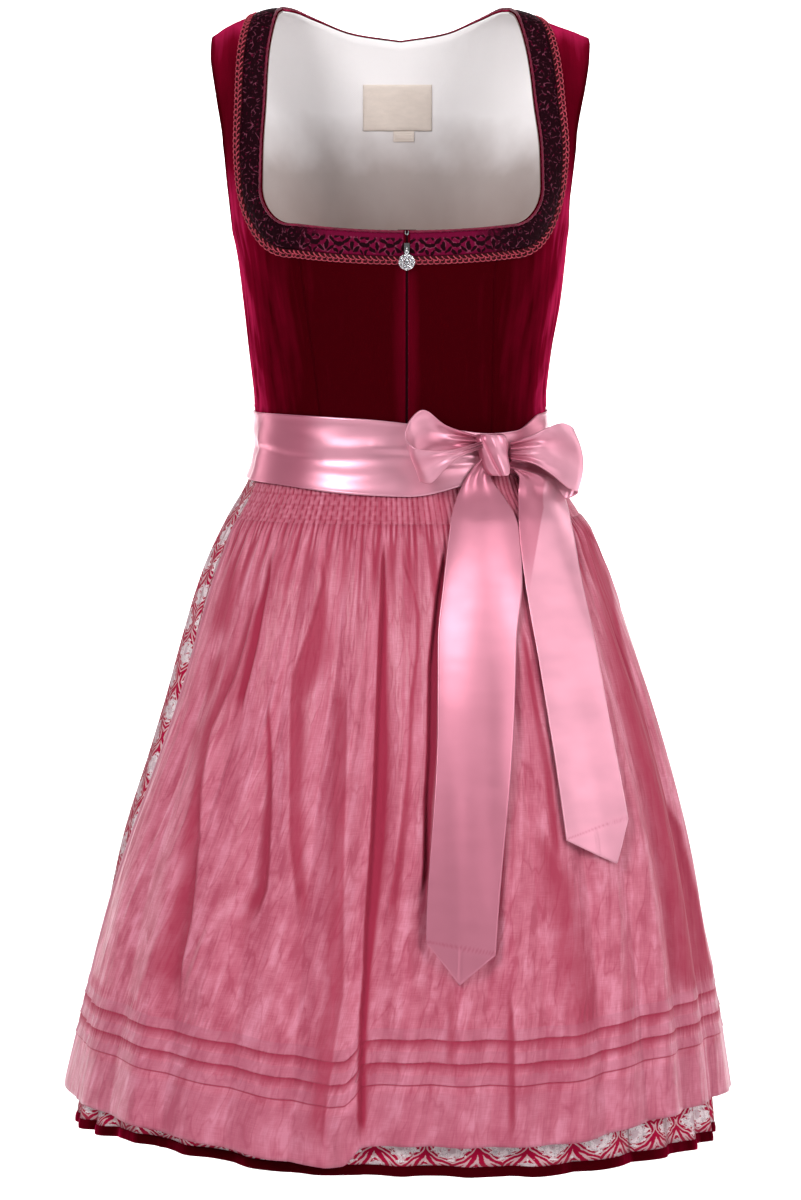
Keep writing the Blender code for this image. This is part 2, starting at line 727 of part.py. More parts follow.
def armhole_line(sign, side, count):
    """The armhole's edge from the underarm to the shoulder tip, on the front or the back."""
    at = Smooth(ARMHOLE, side)
    down = np.linspace(UNDERARM, 0, 40)
    angle = np.radians(at(down))
    angle[-1] = angle_at(SHOULDER_TIP, 0.0) if side == "front" else pi - angle_at(SHOULDER_TIP, 0.0)
    path = np.stack([sign * angle if side == "front" or sign > 0 else 2 * pi - angle, down], 1)
    return spread(path, count)


def side_line(sign, side):
    """Side seam and armhole in one, from the waist to the shoulder tip."""
    seam_angle = sign * pi / 2 if side == "front" or sign > 0 else 3 * pi / 2
    inward = -sign if side == "front" else sign
    down = np.linspace(WAIST - SEAM / 2, UNDERARM, BODY_ROWS + 1)
    angle = seam_angle + inward * seam_shift(seam_angle, down, SEAM / 2)
    seam = np.stack([angle, down], 1)
    arm = armhole_line(sign, side, (STRAP_ROWS if side == "front" else BACK_STRAP_ROWS) + 1)
    arm[0] = seam[-1]
    return np.concatenate([seam, arm[1:]])


def shoulder_line(sign, side):
    """The shoulder seam from the neck to the tip."""
    neck = NECK_LEFT if sign < 0 else NECK_RIGHT
    columns = SIDE_COLUMNS if side == "front" else BACK_STRAP_COLUMNS
    x = np.linspace(neck, SHOULDER_TIP, columns + 1)
    front = angle_at(sign * x, 0.0)
    return np.stack([front if side == "front" else pi - front, np.full(columns + 1, SHOULDER_SEAM)], 1)


def centre_column(sign, distance):
    """Places straight down the front, this far beside the slit's middle."""
    x = ZIP_X + sign * distance
    down = np.linspace(WAIST - SEAM / 2, neck_bottom(x, sign), BODY_ROWS + 1)
    return np.stack([angle_at(x, down), down], 1)


def front_patch(sign):
    """Places of the middle front panel: the slit, the edge of the zip's tape, then to the seam."""
    seam = princess_line(sign, BODY_ROWS + 1)
    centre = centre_column(sign, ZIP_TAPE / 2)
    bottom = np.linspace(centre[0], seam[0], FRONT_COLUMNS + 1)
    top_angle = np.linspace(centre[-1, 0], seam[-1, 0], FRONT_COLUMNS + 1)
    top_x = body_point(top_angle, np.full(FRONT_COLUMNS + 1, NECK_CENTRE))[:, 0]
    top = np.stack([top_angle, neck_bottom(top_x, sign)], 1)
    top[-1] = seam[-1]
    angle, down = fill(bottom, top, centre, seam)
    slit = centre_column(sign, SLIT / 2)
    return np.column_stack([slit[:, 0], angle]), np.column_stack([slit[:, 1], down])


def side_patch(sign):
    """Places of the side front panel with its strap, from the curved seam to the side seam."""
    seam = princess_line(sign, BODY_ROWS + 1)
    start_x = float(body_point(seam[-1, 0], seam[-1, 1])[0])
    neck = spread(neck_line(sign, start_x), STRAP_ROWS + 1, CORNER_WEIGHT)
    neck[0] = seam[-1]
    start = np.concatenate([seam, neck[1:]])
    end = side_line(sign, "front")
    top = shoulder_line(sign, "front")
    start[-1], end[-1] = top[0], top[-1]
    bottom = np.linspace(start[0], end[0], SIDE_COLUMNS + 1)
    return fill(bottom, top, start, end)


def back_patch():
    """Places of the whole back, from the right side seam to the left one."""
    start, end = side_line(1, "back"), side_line(-1, "back")
    neck = back_neck_line(BACK_NECK_COLUMNS + 1)[::-1]
    neck[:, 1] = np.maximum(neck[:, 1], SHOULDER_SEAM)
    right, left = shoulder_line(1, "back")[::-1], shoulder_line(-1, "back")
    top = np.concatenate([right[:-1], neck, left[1:]])
    start[-1], end[-1] = top[0], top[-1]
    columns = len(top)
    angle = np.linspace(start[0, 0], end[0, 0], columns)
    bottom = np.stack([angle, np.full(columns, WAIST - SEAM / 2)], 1)
    return fill(bottom, top, start, end)


def shifted(patch, column, distance):
    """The patch with one edge column moved round the form."""
    angle, down = patch[0].copy(), patch[1]
    angle[:, column] += seam_shift(angle[:, column], down[:, column], distance)
    return angle, down


def layer(patch, outside, inside):
    """The two faces of a cloth of the bodice; its shoulder edges stand upright."""
    angle, down = patch
    grids = on_bodice(angle, down, outside), on_bodice(angle, down, inside)
    edge = body_point(angle, down)[..., 1]
    for grid in grids:
        grid[..., 1] = np.where(down < 2 * SHOULDER_SEAM, edge, grid[..., 1])
    return grids


def build_bodice():
    velvet = (VELVET_RED, 0.75)
    linen = (LINING_GREY, 0.80)
    lining_out, lining_in = -VELVET - SEAM, -VELVET - SEAM - LINING
    for sign, side in ((-1, "left"), (1, "right")):
        front, flank = front_patch(sign), side_patch(sign)
        seamed_front = shifted(front, -1, -sign * SEAM / 2)
        seamed_flank = shifted(flank, 0, sign * SEAM / 2)
        rows = slice(0, BODY_ROWS + 1)
        seamed_flank = (
            np.concatenate([seamed_flank[0][rows], flank[0][BODY_ROWS + 1 :]]),
            flank[1],
        )
        add_wall(f"bodice_front_{side}", [layer(seamed_front, 0.0, -VELVET)], velvet)
        add_wall(f"bodice_side_{side}", [layer(seamed_flank, 0.0, -VELVET)], velvet)
        beside_zip = shifted((front[0][:, 1:], front[1][:, 1:]), 0, sign * SEAM)
        patches = [layer(beside_zip, lining_out, lining_in), layer(flank, lining_out, lining_in)]
        add_wall(f"lining_{side}", patches, linen)
    back = back_patch()
    add_wall("bodice_back", [layer(back, 0.0, -VELVET)], velvet)
    add_wall("lining_back", [layer(back, lining_out, lining_in)], linen)


def split(path, parts):
    """The same path with every step cut into this many."""
    wanted = np.arange(parts * (len(path) - 1) + 1) / parts
    at = np.arange(len(path))
    return np.stack([np.interp(wanted, at, path[:, 0]), np.interp(wanted, at, path[:, 1])], 1)


def front_edge(sign):
    """The panels' own neck edge, as (angle, down), from beside the slit up to the shoulder."""
    front, flank = front_patch(sign), side_patch(sign)
    bottom = np.stack([front[0][-1], front[1][-1]], 1)
    x = ZIP_X + sign * TRIM_SLIT / 2
    bottom[0] = angle_at(x, neck_bottom(x, sign)), neck_bottom(x, sign)
    strap = np.stack([flank[0][:, 0], flank[1][:, 0]], 1)[BODY_ROWS + 1 :]
    return np.concatenate([split(bottom, 2), strap])


def trim_path():
    """The neck edge all round from the left of the slit to its right, as (angle, down)."""
    back = split(back_neck_line(BACK_NECK_COLUMNS + 1), 2)
    return np.concatenate([front_edge(-1), back[1:-1], front_edge(1)[::-1]])


def beside(path, distance):
    """The path moved over the form by this distance, away from the neck opening."""
    angle, down = path[:, 0].copy(), path[:, 1].copy()
    steps = 3
    points = body_point(angle, down)
    along = np.gradient(points, axis=0)
    for _ in range(steps):
        away = np.cross(normals(angle, down), along)
        away *= distance / steps / np.linalg.norm(away, axis=1, keepdims=True)
        small = 0.0005
        low = np.maximum(down, small)
        by_angle = (body_point(angle + small, low) - body_point(angle - small, low)) / (2 * small)
        by_down = (body_point(angle, low + small) - body_point(angle, low - small)) / (2 * small)
        aa, dd = (by_angle**2).sum(1), (by_down**2).sum(1)
        ad = (by_angle * by_down).sum(1)
        ra, rd = (away * by_angle).sum(1), (away * by_down).sum(1)
        scale = aa * dd - ad**2
        angle += (ra * dd - rd * ad) / scale
        down = np.maximum(down + (rd * aa - ra * ad) / scale, 0)
    return np.stack([angle, down], 1)


def cloth_tree(*names):
    """The faces of the named pieces, for finding how high their cloth stands."""
    points, faces = [], []
    for name in names:
        mesh = bpy.data.objects[name].data
        faces += [[len(points) + i for i in face.vertices] for face in mesh.polygons]
        points += [vertex.co for vertex in mesh.vertices]
    return BVHTree.FromPolygons(points, faces)


def cloth_height(tree, places, side=1):
    """How far the cloth's outermost face (innermost for side -1) stands over the form at each place."""
    points = body_point(places[:, 0], places[:, 1])
    out = normals(places[:, 0], places[:, 1])
    heights = []
    for point, way in zip(points, out):
        start = Vector(point + side * SEAT_SEARCH * way)
        hit = tree.ray_cast(start, Vector(-side * way), 2 * SEAT_SEARCH)[0]
        if hit is None:
            hit = tree.find_nearest(Vector(point))[0]
        heights.append(float(np.dot(np.array(hit) - point, way)))
    return np.array(heights)


def seated(tree, places):
    """Heights over the form that keep a strip with these corners clear of the cloth below it."""
    angle, down = places[..., 0], places[..., 1]
    out = normals(angle, down)
    form = body_point(angle, down)
    height = np.array([cloth_height(tree, row) for row in places]) + TRIM_LIE
    shares = np.linspace(0, 1, SEAT_SAMPLES + 1)
    corners = [(slice(0, -1), slice(0, -1)), (slice(1, None), slice(0, -1))]
    corners += [(slice(0, -1), slice(1, None)), (slice(1, None), slice(1, None))]
    for _ in range(SEAT_ROUNDS):
        points = form + out * height[..., None]
        short = np.zeros_like(height)
        for u in shares:
            for v in shares:
                weights = (1 - u) * (1 - v), u * (1 - v), (1 - u) * v, u * v
                middle = sum(weight * points[at] for weight, at in zip(weights, corners))
                way = sum(weight * out[at] for weight, at in zip(weights, corners))
                need = np.zeros(middle.shape[:2])
                for at in np.ndindex(need.shape):
                    start = Vector(middle[at] + SEAT_SEARCH * way[at])
                    hit = tree.ray_cast(start, Vector(-way[at]), 2 * SEAT_SEARCH)[0]
                    if hit is not None:
                        need[at] = TRIM_CLEAR - np.dot(middle[at] - np.array(hit), way[at])
                for at in corners:
                    short[at] = np.maximum(short[at], need)
        height += short
    return height


def build_trims():
    path = trim_path()
    panels = ("bodice_front_left", "bodice_front_right", "bodice_side_left", "bodice_side_right")
    tree = cloth_tree(*panels, "bodice_back")
    for name, columns, scallop, colour in (
        ("neck_trim", NECK_TRIM, 0.0, TRIM_DARK),
        ("gimp_braid", GIMP_BRAID, GIMP_SCALLOP, GIMP_ROSE),
    ):
        places = np.array([beside(path, column.across) for column in columns])
        height = seated(tree, places)
        rise = np.tile([[column.rise] for column in columns], (1, len(path)))
        rise[1:-1] += scallop * np.cos(pi * np.arange(len(path)))
        angle, down = places[..., 0], places[..., 1]
        grids = on_bodice(angle, down, height + rise), on_bodice(angle, down, height)
        add_wall(name, [grids], (colour, 0.7))


def build_label():
    """The cream label and its tab, on the inner face of the back lining."""
    xs = [LABEL_LEFT, TAB_LEFT, TAB_RIGHT, LABEL_RIGHT]
    downs = [LABEL_TOP, (LABEL_TOP + LABEL_BOTTOM) / 2, LABEL_BOTTOM]
    tree = cloth_tree("lining_back")

    def patch(columns, rows):
        x, down = np.meshgrid(columns, rows)
        angle = pi - angle_at(x, down)
        places = np.stack([angle.ravel(), down.ravel()], 1)
        face = cloth_height(tree, places, side=-1).reshape(x.shape) - LABEL_GAP
        return on_bodice(angle, down, face), on_bodice(angle, down, face - LABEL_THICK)

    patches = [patch(xs, downs), patch([TAB_LEFT, TAB_RIGHT], [LABEL_BOTTOM, TAB_BOTTOM])]
    add_wall("label", patches, (LABEL_CREAM, 0.6))


def build_zip():
    """The tape behind the slit, the slider with the pin, the pendant on the pin, and the hook."""
    left, right = front_patch(-1), front_patch(1)
    tape = tuple(np.column_stack([a[:, 1], a[:, 0], b[:, 0], b[:, 1]]) for a, b in zip(left, right))
    add_wall("zip", [layer(tape, -VELVET - SEAM, -VELVET - SEAM - ZIP_THICK)], (ZIP_DARK, 0.6))

    slit_angle = angle_at(ZIP_X, SLIDER_DOWN)
    face = Vector(on_bodice(slit_angle, SLIDER_DOWN, SLIDER_LIE))
    centre = face + Vector((0, -SLIDER_THICK / 2, 0))
    plate = box_faces(centre, (SLIDER_WIDE, SLIDER_THICK, SLIDER_TALL))
    pin = face + Vector((0, -PIN_REACH, 0))
    slider = add_object("zip_slider", *plate, (SILVER, 0.25, 1.0), smooth=False)
    for side in (-1, 1):
        x = side * (SLIDER_WIDE - CHEEK_THICK) / 2
        middle = face + Vector((x, -CHEEK_SET_IN - CHEEK_REACH / 2, 0))
        join(slider, box_faces(middle, (CHEEK_THICK, CHEEK_REACH, CHEEK_TALL)))
    join(slider, rod_faces(pin, PIN_RADIUS, SLIDER_WIDE - CHEEK_THICK, 8))

    eye = rod_faces(pin, EYE_RADIUS, EYE_WIDE, 12)
    pull = add_object("zip_pull", *eye, (SILVER, 0.2, 1.0), origin=pin)
    disc_centre = pin + Vector((0, 0, -PENDANT_DROP))
    stem = pin + Vector((0, 0, -EYE_HOLE - STEM_TALL / 2))
    join(pull, box_faces(stem, (EYE_WIDE, STEM_THICK, STEM_TALL)))
    join(pull, rosette_faces(disc_centre))
    hole = add_object("eye_hole", *rod_faces(pin, EYE_HOLE, 3 * EYE_WIDE, 12), (SILVER, 0.2, 1.0))
    cut(pull, hole)

    hook_angle = angle_at(ZIP_X, HOOK_DOWN)
    base = Vector(on_bodice(hook_angle, HOOK_DOWN, HOOK_WIRE + HOOK_LIE))
    wire = bpy.data.curves.new("neck_hook", "CURVE")
    wire.dimensions = "3D"
    wire.bevel_depth = HOOK_WIRE
    wire.bevel_resolution = 2
    wire.use_fill_caps = True
    spline = wire.splines.new("POLY")
    half_wide = HOOK_WIDE / 2 - HOOK_WIRE
    bend = [(-half_wide, HOOK_TALL / 2), (-half_wide, 0.0)]
    bend += [(-half_wide * np.cos(t), -half_wide * np.sin(t)) for t in np.linspace(0, pi, 7)[1:-1]]
    bend += [(half_wide, 0.0), (half_wide, HOOK_TALL / 2)]
    spline.points.add(len(bend) - 1)
    for point, (x, z) in zip(spline.points, bend):
        point.co = (base.x + x, base.y, base.z + z, 1)
    wire.materials.append(new_material("neck_hook", SILVER, 0.25, 1.0))
    bpy.context.scene.collection.objects.link(bpy.data.objects.new("neck_hook", wire))


def box_faces(centre, size):
    half = np.array(size) / 2
    signs = [(i, j, k) for k in (-1, 1) for j in (-1, 1) for i in (-1, 1)]
    points = [np.array(centre) + half * sign for sign in signs]
    faces = [(0, 2, 3, 1), (4, 5, 7, 6), (0, 1, 5, 4), (2, 6, 7, 3), (0, 4, 6, 2), (1, 3, 7, 5)]
    return points, faces


def rod_faces(centre, radius, length, sides):
    """A rod along X."""
    turn = np.linspace(0, 2 * pi, sides, endpoint=False)
    points = []
    for x in (-length / 2, length / 2):
        points += [np.array(centre) + (x, radius * np.cos(t), radius * np.sin(t)) for t in turn]
    faces = [(i, (i + 1) % sides, sides + (i + 1) % sides, sides + i) for i in range(sides)]
    faces += [tuple(reversed(range(sides))), tuple(range(sides, 2 * sides))]
    return points, faces


def rosette_faces(centre):
    """A round pendant with a scalloped rim and a raised middle, facing -Y."""
    count = 2 * PENDANT_PETALS
    turn = np.linspace(0, 2 * pi, count, endpoint=False)
    rim = PENDANT_RADIUS * np.where(np.arange(count) % 2, 0.90, 1.0)
    points = [np.array(centre) + (0, -0.8 * PENDANT_THICK, 0)]
    for share, y in ((0.5, -PENDANT_THICK / 2), (1.0, -PENDANT_THICK / 4), (1.0, PENDANT_THICK / 4)):
        for angle, radius in zip(turn, rim):
            points.append(
                np.array(centre) + (share * radius * np.cos(angle), y, share * radius * np.sin(angle))
            )
    points.append(np.array(centre) + (0, PENDANT_THICK / 2, 0))
    faces = []
    for i in range(count):
        j = (i + 1) % count
        faces.append((0, 1 + i, 1 + j))
        for ring in (0, 1):
            low, high = 1 + ring * count, 1 + (ring + 1) * count
            faces.append((low + i, high + i, high + j, low + j))
        faces.append((1 + 2 * count + j, 1 + 2 * count + i, len(points) - 1))
    return points, faces


def boolean(item, other, operation):
    step = item.modifiers.new(other.name, "BOOLEAN")
    step.operation = operation
    step.solver = "EXACT"
    step.object = other
    other.hide_render = True
    other.display_type = "WIRE"


def join(item, shape):
    """Unites the object with a further closed shape of the same piece."""
    number = len(item.modifiers) + 1
    helper = add_object(f"{item.name}_add{number}", *shape, (SILVER, 0.3, 1.0), smooth=False)
    boolean(item, helper, "UNION")


def cut(item, cutter):
    boolean(item, cutter, "DIFFERENCE")


def pleat_wave(angle):
    """-1 to 1 round the skirt, a little uneven from pleat to pleat."""
    phase = angle * SKIRT_PLEATS
    number = np.round(phase / (2 * pi)) % SKIRT_PLEATS
    height = 1 - PLEAT_UNEVEN * (0.5 + 0.5 * np.sin(PLEAT_MIX * number))
    return np.cos(phase) * height


def skirt_grid(angle, downs, extra):
    angle, down = np.meshgrid(angle, downs)
    reach = pleat_depth(down) * pleat_wave(angle)
    outer = on_skirt(angle, down, reach + extra)
    inner = on_skirt(angle, down, reach - SKIRT_CLOTH)
    return outer, inner


def build_skirt():
    downs = [row.down for row in SKIRT_ROWS[:-1]]
    downs[0] += SEAM / 2
    downs[-1] -= SEAM / 2
    steps = SKIRT_PLEATS * PLEAT_STEPS // 4
    names = ("skirt_front", "skirt_right", "skirt_back", "skirt_left")
    for quarter, name in enumerate(names):
        start = (quarter - 0.5) * pi / 2
        angle = np.linspace(start, start + pi / 2, steps + 1)
        angle[0] += seam_shift(angle[0], HEM, SEAM / 2)
        angle[-1] -= seam_shift(angle[-1], HEM, SEAM / 2)
        add_wall(name, [skirt_grid(angle, downs, 0.0)], (PRINT_PINK, 0.75))
    angle = np.linspace(-pi / 4, 2 * pi - pi / 4, SKIRT_PLEATS * PLEAT_STEPS + 1)
    band = skirt_grid(angle, [HEM - HEM_BAND + SEAM / 2, HEM], 0.0003)
    for grid in band:
        grid[:, -1] = grid[:, 0]
    add_wall("skirt_hem_band", [band], (VELVET_RED, 0.75))


apron_left = Smooth(APRON_EDGES, "left")
apron_right = Smooth(APRON_EDGES, "right")
apron_hem = Smooth(APRON_HEM, "down")
flare_left = Smooth(APRON_FLARE, "left")
flare_right = Smooth(APRON_FLARE, "right")


def apron_folds(angle, down):
    """Height of the apron over the skirt from its long folds and its flared corners."""
    degrees = np.degrees(angle)
    share = np.clip((down - FOLD_START) / (apron_hem(degrees) - FOLD_START), 0, 1)
    grown = ease(down, FOLD_START, FOLD_FULL)
    rise = np.zeros(np.broadcast(angle, down).shape)
    for fold in APRON_FOLDS:
        crest = fold.above * (1 - share) + fold.below * share
        width = np.where(degrees < crest, fold.left, fold.right)
        rise = np.maximum(rise, fold.height * grown * np.exp(-(((degrees - crest) / width) ** 2)))
    left = flare_left(down) * np.exp(-(((degrees - apron_left(down)) / FLARE_WIDTH) ** 2))
    right = flare_right(down) * np.exp(-(((degrees - apron_right(down)) / FLARE_WIDTH) ** 2))
    return rise + left + right


def gather_wave(share, down):
    """The gathers released under the smocking, 0 to 1, dying out down the cloth."""
    number = np.floor(share * GATHERS)
    length = 1 - GATHER_UNEVEN * (1 - np.sin(GATHER_MIX * number))
    fade = 1 - ease(down, GATHER_START, SMOCKING_END + (GATHER_END - SMOCKING_END) * length)
    return fade * (0.5 + 0.5 * np.cos(2 * pi * share * GATHERS))


def apron_reach(angle, down, share):
    """How far the apron's inner face stands over the form."""
    gathers = GATHER_RISE * gather_wave(share, down)
    return pleat_depth(down) + APRON_LIE + np.maximum(gathers, apron_folds(angle, down))


def apron_places(downs_of, columns):
    """Angles, downs and shares of an apron grid, the rows given as functions of the angle."""
    share = np.linspace(0, 1, columns + 1)
    angles, downs = [], []
    for down_of in downs_of:
        down = np.full(columns + 1, 0.5)
        for _ in range(3):
            angle = np.radians(apron_left(down) * (1 - share) + apron_right(down) * share)
            down = down_of(np.degrees(angle))
        angles.append(angle)
        downs.append(down)
    return np.array(angles), np.array(downs), np.tile(share, (len(downs), 1))


def build_apron():
    level = [lambda degrees, row=row: np.full(len(degrees), row) for row in APRON_ROWS]
    rows, rises = level, [0.0] * len(APRON_ROWS)
    rows.append(lambda degrees: apron_hem(degrees) - TUCKS[0] - TUCK_DEPTH)
    rises.append(0.0)
    for tuck in TUCKS:
        rows.append(lambda degrees, tuck=tuck: apron_hem(degrees) - tuck)
        rows.append(lambda degrees, tuck=tuck: apron_hem(degrees) - tuck + TUCK_RETURN)
        rises += [TUCK_RISE, 0.0]
    rows.append(apron_hem)
    rises.append(0.0)
    angle, down, share = apron_places(rows, GATHERS * GATHER_STEPS)
    reach = apron_reach(angle, down, share)
    outer = on_skirt(angle, down, reach + APRON_CLOTH + np.array(rises)[:, None])
    inner = on_skirt(angle, down, reach)
    add_wall("apron_panel", [(outer, inner)], (APRON_PINK, 0.45))

    heads = [SMOCKING_TOP, 0.4300, SMOCKING_END]
    level = [lambda degrees, row=row: np.full(len(degrees), row) for row in heads]
    angle, down, share = apron_places(level, 2 * PIN_PLEATS)
    pleats = PIN_PLEAT_RISE * (np.arange(angle.shape[1]) % 2)
    outer = on_skirt(angle, down, smocking_reach(down) - PIN_PLEAT_RISE + pleats)
    angle, down, share = apron_places(level, SMOCKING_INSIDE)
    inner = on_skirt(angle, down, pleat_depth(down) + APRON_LIE)
    add_relief_wall("apron_smocking", outer, inner, (APRON_PINK, 0.5))


def smocking_reach(down):
    """How far the crests of the pin pleats stand over the form."""
    return pleat_depth(down) + APRON_LIE + APRON_CLOTH + PIN_PLEAT_RISE


def sash_reach(angle, down):
    """How far the sash's inner face stands over the form: on the bodice above, on the apron below."""
    degrees = (np.degrees(angle) + 180) % 360 - 180
    edge_width = 8.0
    over_left = ease(degrees, APRON_EDGES[0].left - edge_width, APRON_EDGES[0].left - 1)
    over_right = 1 - ease(degrees, APRON_EDGES[0].right + 1, APRON_EDGES[0].right + edge_width)
    on_head = over_left * over_right * (APRON_LIE + APRON_CLOTH + PIN_PLEAT_RISE)
    below = pleat_depth(np.maximum(down, WAIST)) + on_head
    return SASH_SNUG + below * ease(down, SASH_OVER_FROM, SASH_OVER_TO)


def build_sash():
    top, bottom = Smooth(SASH_EDGES, "top"), Smooth(SASH_EDGES, "bottom")
    angle = np.linspace(-pi, pi, SASH_STEPS + 1)
    degrees = np.degrees(angle)
    share = np.array(SASH_SHARES)[:, None]
    down = top(degrees) * (1 - share) + bottom(degrees) * share
    angle = np.tile(angle, (len(SASH_SHARES), 1))
    reach = sash_reach(angle, down)
    outer = on_skirt(angle, down, reach + RIBBON)
    inner = on_skirt(angle, down, reach)
    for grid in (outer, inner):
        grid[:, -1] = grid[:, 0]
    add_wall("sash", [(outer, inner)], (SATIN_PINK, 0.3))


def knot_frame():
    """Where the knot sits on the sash, and the directions along the waist, outwards and up."""
    angle = float(angle_at(KNOT_X, KNOT_DOWN))
    foot = on_skirt(angle, KNOT_DOWN, float(sash_reach(angle, KNOT_DOWN)) + RIBBON)
    out = level_normals(angle, KNOT_DOWN)
    along = np.array([-out[1], out[0], 0.0])
    return foot, along, out, np.array([0.0, 0.0, 1.0])


def in_bow(points):
    foot, along, out, up = knot_frame()
    points = np.asarray(points)
    return foot + points[..., :1] * along + points[..., 1:2] * out + points[..., 2:] * up


def on_sash(along, up, out):
    """Points over the sash near the knot: along the waist, up, and out from the ribbon's face."""
    start = float(angle_at(KNOT_X, KNOT_DOWN))
    down = KNOT_DOWN - up
    angle = start + seam_shift(start, KNOT_DOWN, along)
    return on_skirt(angle, down, sash_reach(angle, down) + RIBBON + out)


def build_knot():
    turn = np.linspace(0, 2 * pi, KNOT_SIDES, endpoint=False)
    sine, cosine = np.sin(turn), np.cos(turn)
    reach = (np.abs(sine) ** KNOT_SQUARE + np.abs(cosine) ** KNOT_SQUARE) ** (-1 / KNOT_SQUARE)
    points = []
    for height, size in KNOT_SHARES:
        along = size * KNOT_HALF_WIDE * sine * reach
        out = SASH_SNUG + KNOT_DEEP / 2 * (1 + (1 + size) / 2 * cosine * reach)
        up = np.full(KNOT_SIDES, height * KNOT_HALF_TALL)
        points += list(on_sash(along, up, out))
    faces = [tuple(range(KNOT_SIDES)), tuple(reversed(range(len(points) - KNOT_SIDES, len(points))))]
    for level in range(len(KNOT_SHARES) - 1):
        low, high = level * KNOT_SIDES, (level + 1) * KNOT_SIDES
        for i in range(KNOT_SIDES):
            j = (i + 1) % KNOT_SIDES
            faces.append((low + j, low + i, high + i, high + j))
    add_object("bow_knot", points, faces, (SATIN_PINK, 0.3))


def along_points(rows, count):
    """A smooth curve through the rows of a loop's edge."""
    points = np.array(rows)
    length = np.concatenate([[0], np.cumsum(np.linalg.norm(np.diff(points, axis=0), axis=1))])
    slopes = np.gradient(points, length, axis=0)
    wanted = np.linspace(0, length[-1], count)
    i = np.clip(np.searchsorted(length, wanted, side="right") - 1, 0, len(length) - 2)
    span = (length[i + 1] - length[i])[:, None]
    t = (wanted - length[i])[:, None] / span
    ease_in = t * t * (3 - 2 * t)
    start = span * slopes[i] * t * (1 - t) ** 2
    end = span * slopes[i + 1] * t * t * (t - 1)
    return points[i] * (1 - ease_in) + points[i + 1] * ease_in + start + end


def build_loops():
    for side, top, bottom in (
        ("left", LEFT_LOOP_TOP, LEFT_LOOP_BOTTOM),
        ("right", RIGHT_LOOP_TOP, RIGHT_LOOP_BOTTOM),
    ):
        high = along_points(top, LOOP_STEPS + 1)
        low = along_points(bottom, LOOP_STEPS + 1)
        share = np.linspace(0, 1, LOOP_SHARES + 1)[:, None, None]
        grid = in_bow(low[None] * (1 - share) + high[None] * share)
        add_ribbon(f"bow_loop_{side}", grid, (SATIN_PINK, 0.3))


def tail_reach(angle, down):
    """The tail lies on the sash and the smocking above, then on the highest folds near it."""
    highest = sash_reach(angle, np.minimum(down, 0.4330)) + RIBBON
    edge = apron_left(down), apron_right(down)
    for shift in np.linspace(-TAIL_WINDOW, TAIL_WINDOW, 11):
        near = angle + radians(shift)
        share = (np.degrees(near) - edge[0]) / (edge[1] - edge[0])
        over = apron_reach(near, down, share) + APRON_CLOTH
        highest = np.where(down > SMOCKING_END - 0.005, np.maximum(highest, over), highest)
    return highest + TAIL_LIE


def build_tails():
    for side, table, end, rows in (
        ("left", LEFT_TAIL, LEFT_TAIL_END, LEFT_TAIL_ROWS),
        ("right", RIGHT_TAIL, RIGHT_TAIL_END, RIGHT_TAIL_ROWS),
    ):
        left, right = Smooth(table, "left"), Smooth(table, "right")
        share = np.linspace(0, 1, TAIL_COLUMNS + 1)
        last = np.interp(share, [point.share for point in end], [point.down for point in end])
        downs = [np.full(TAIL_COLUMNS + 1, row) for row in rows] + [(rows[-1] + last) / 2, last]
        down = np.array(downs)
        x = left(down) * (1 - share) + right(down) * share
        angle = angle_at(x, down)
        reach = tail_reach(angle, down)
        outer = on_skirt(angle, down, reach + RIBBON)
        inner = on_skirt(angle, down, reach)
        add_wall(f"bow_tail_{side}", [(outer, inner)], (SATIN_PINK, 0.3))


def main():
    for item in list(bpy.data.objects):
        bpy.data.objects.remove(item, do_unlink=True)
    build_bodice()
    build_trims()
    build_label()
    build_zip()
    build_skirt()
    build_apron()
    build_sash()
    build_knot()
    build_loops()
    build_tails()


main()
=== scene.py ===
"""Looks of a knee-length dirndl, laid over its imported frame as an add-on that is run as a script.

Every cloth is a fine wall over the same worn form as its solid. A place on the form has an angle, 0 at
the front and growing towards +X, and a distance down from the shoulder line. Metres, +Z up, the front
faces -Y. Cloth patterns are worked out from lengths along the cloth, held in its UV map in metres.
"""

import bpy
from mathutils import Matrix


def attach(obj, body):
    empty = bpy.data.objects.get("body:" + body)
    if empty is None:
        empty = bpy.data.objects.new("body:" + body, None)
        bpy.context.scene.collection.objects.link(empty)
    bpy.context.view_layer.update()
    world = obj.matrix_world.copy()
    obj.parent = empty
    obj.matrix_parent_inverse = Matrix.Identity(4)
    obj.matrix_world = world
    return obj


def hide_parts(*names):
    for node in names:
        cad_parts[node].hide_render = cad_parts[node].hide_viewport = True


bl_info = {
    "name": "Dirndl",
    "version": (1, 0, 0),
    "blender": (4, 5, 0),
    "location": "3D View > Sidebar > Dirndl",
    "description": "Builds the cloth, trims and silver of a knee-length dirndl over its frame",
    "category": "Object",
}

from math import cos, pi, radians, sin

import bpy
import numpy as np
from bpy.props import FloatProperty, FloatVectorProperty, IntProperty, PointerProperty
from mathutils import Vector

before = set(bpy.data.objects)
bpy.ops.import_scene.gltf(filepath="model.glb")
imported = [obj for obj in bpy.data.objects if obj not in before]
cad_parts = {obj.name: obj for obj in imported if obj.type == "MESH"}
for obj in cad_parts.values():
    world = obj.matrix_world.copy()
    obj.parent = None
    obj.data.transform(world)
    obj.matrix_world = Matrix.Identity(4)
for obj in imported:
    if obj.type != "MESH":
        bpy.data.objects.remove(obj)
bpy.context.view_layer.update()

# ---- the worn form

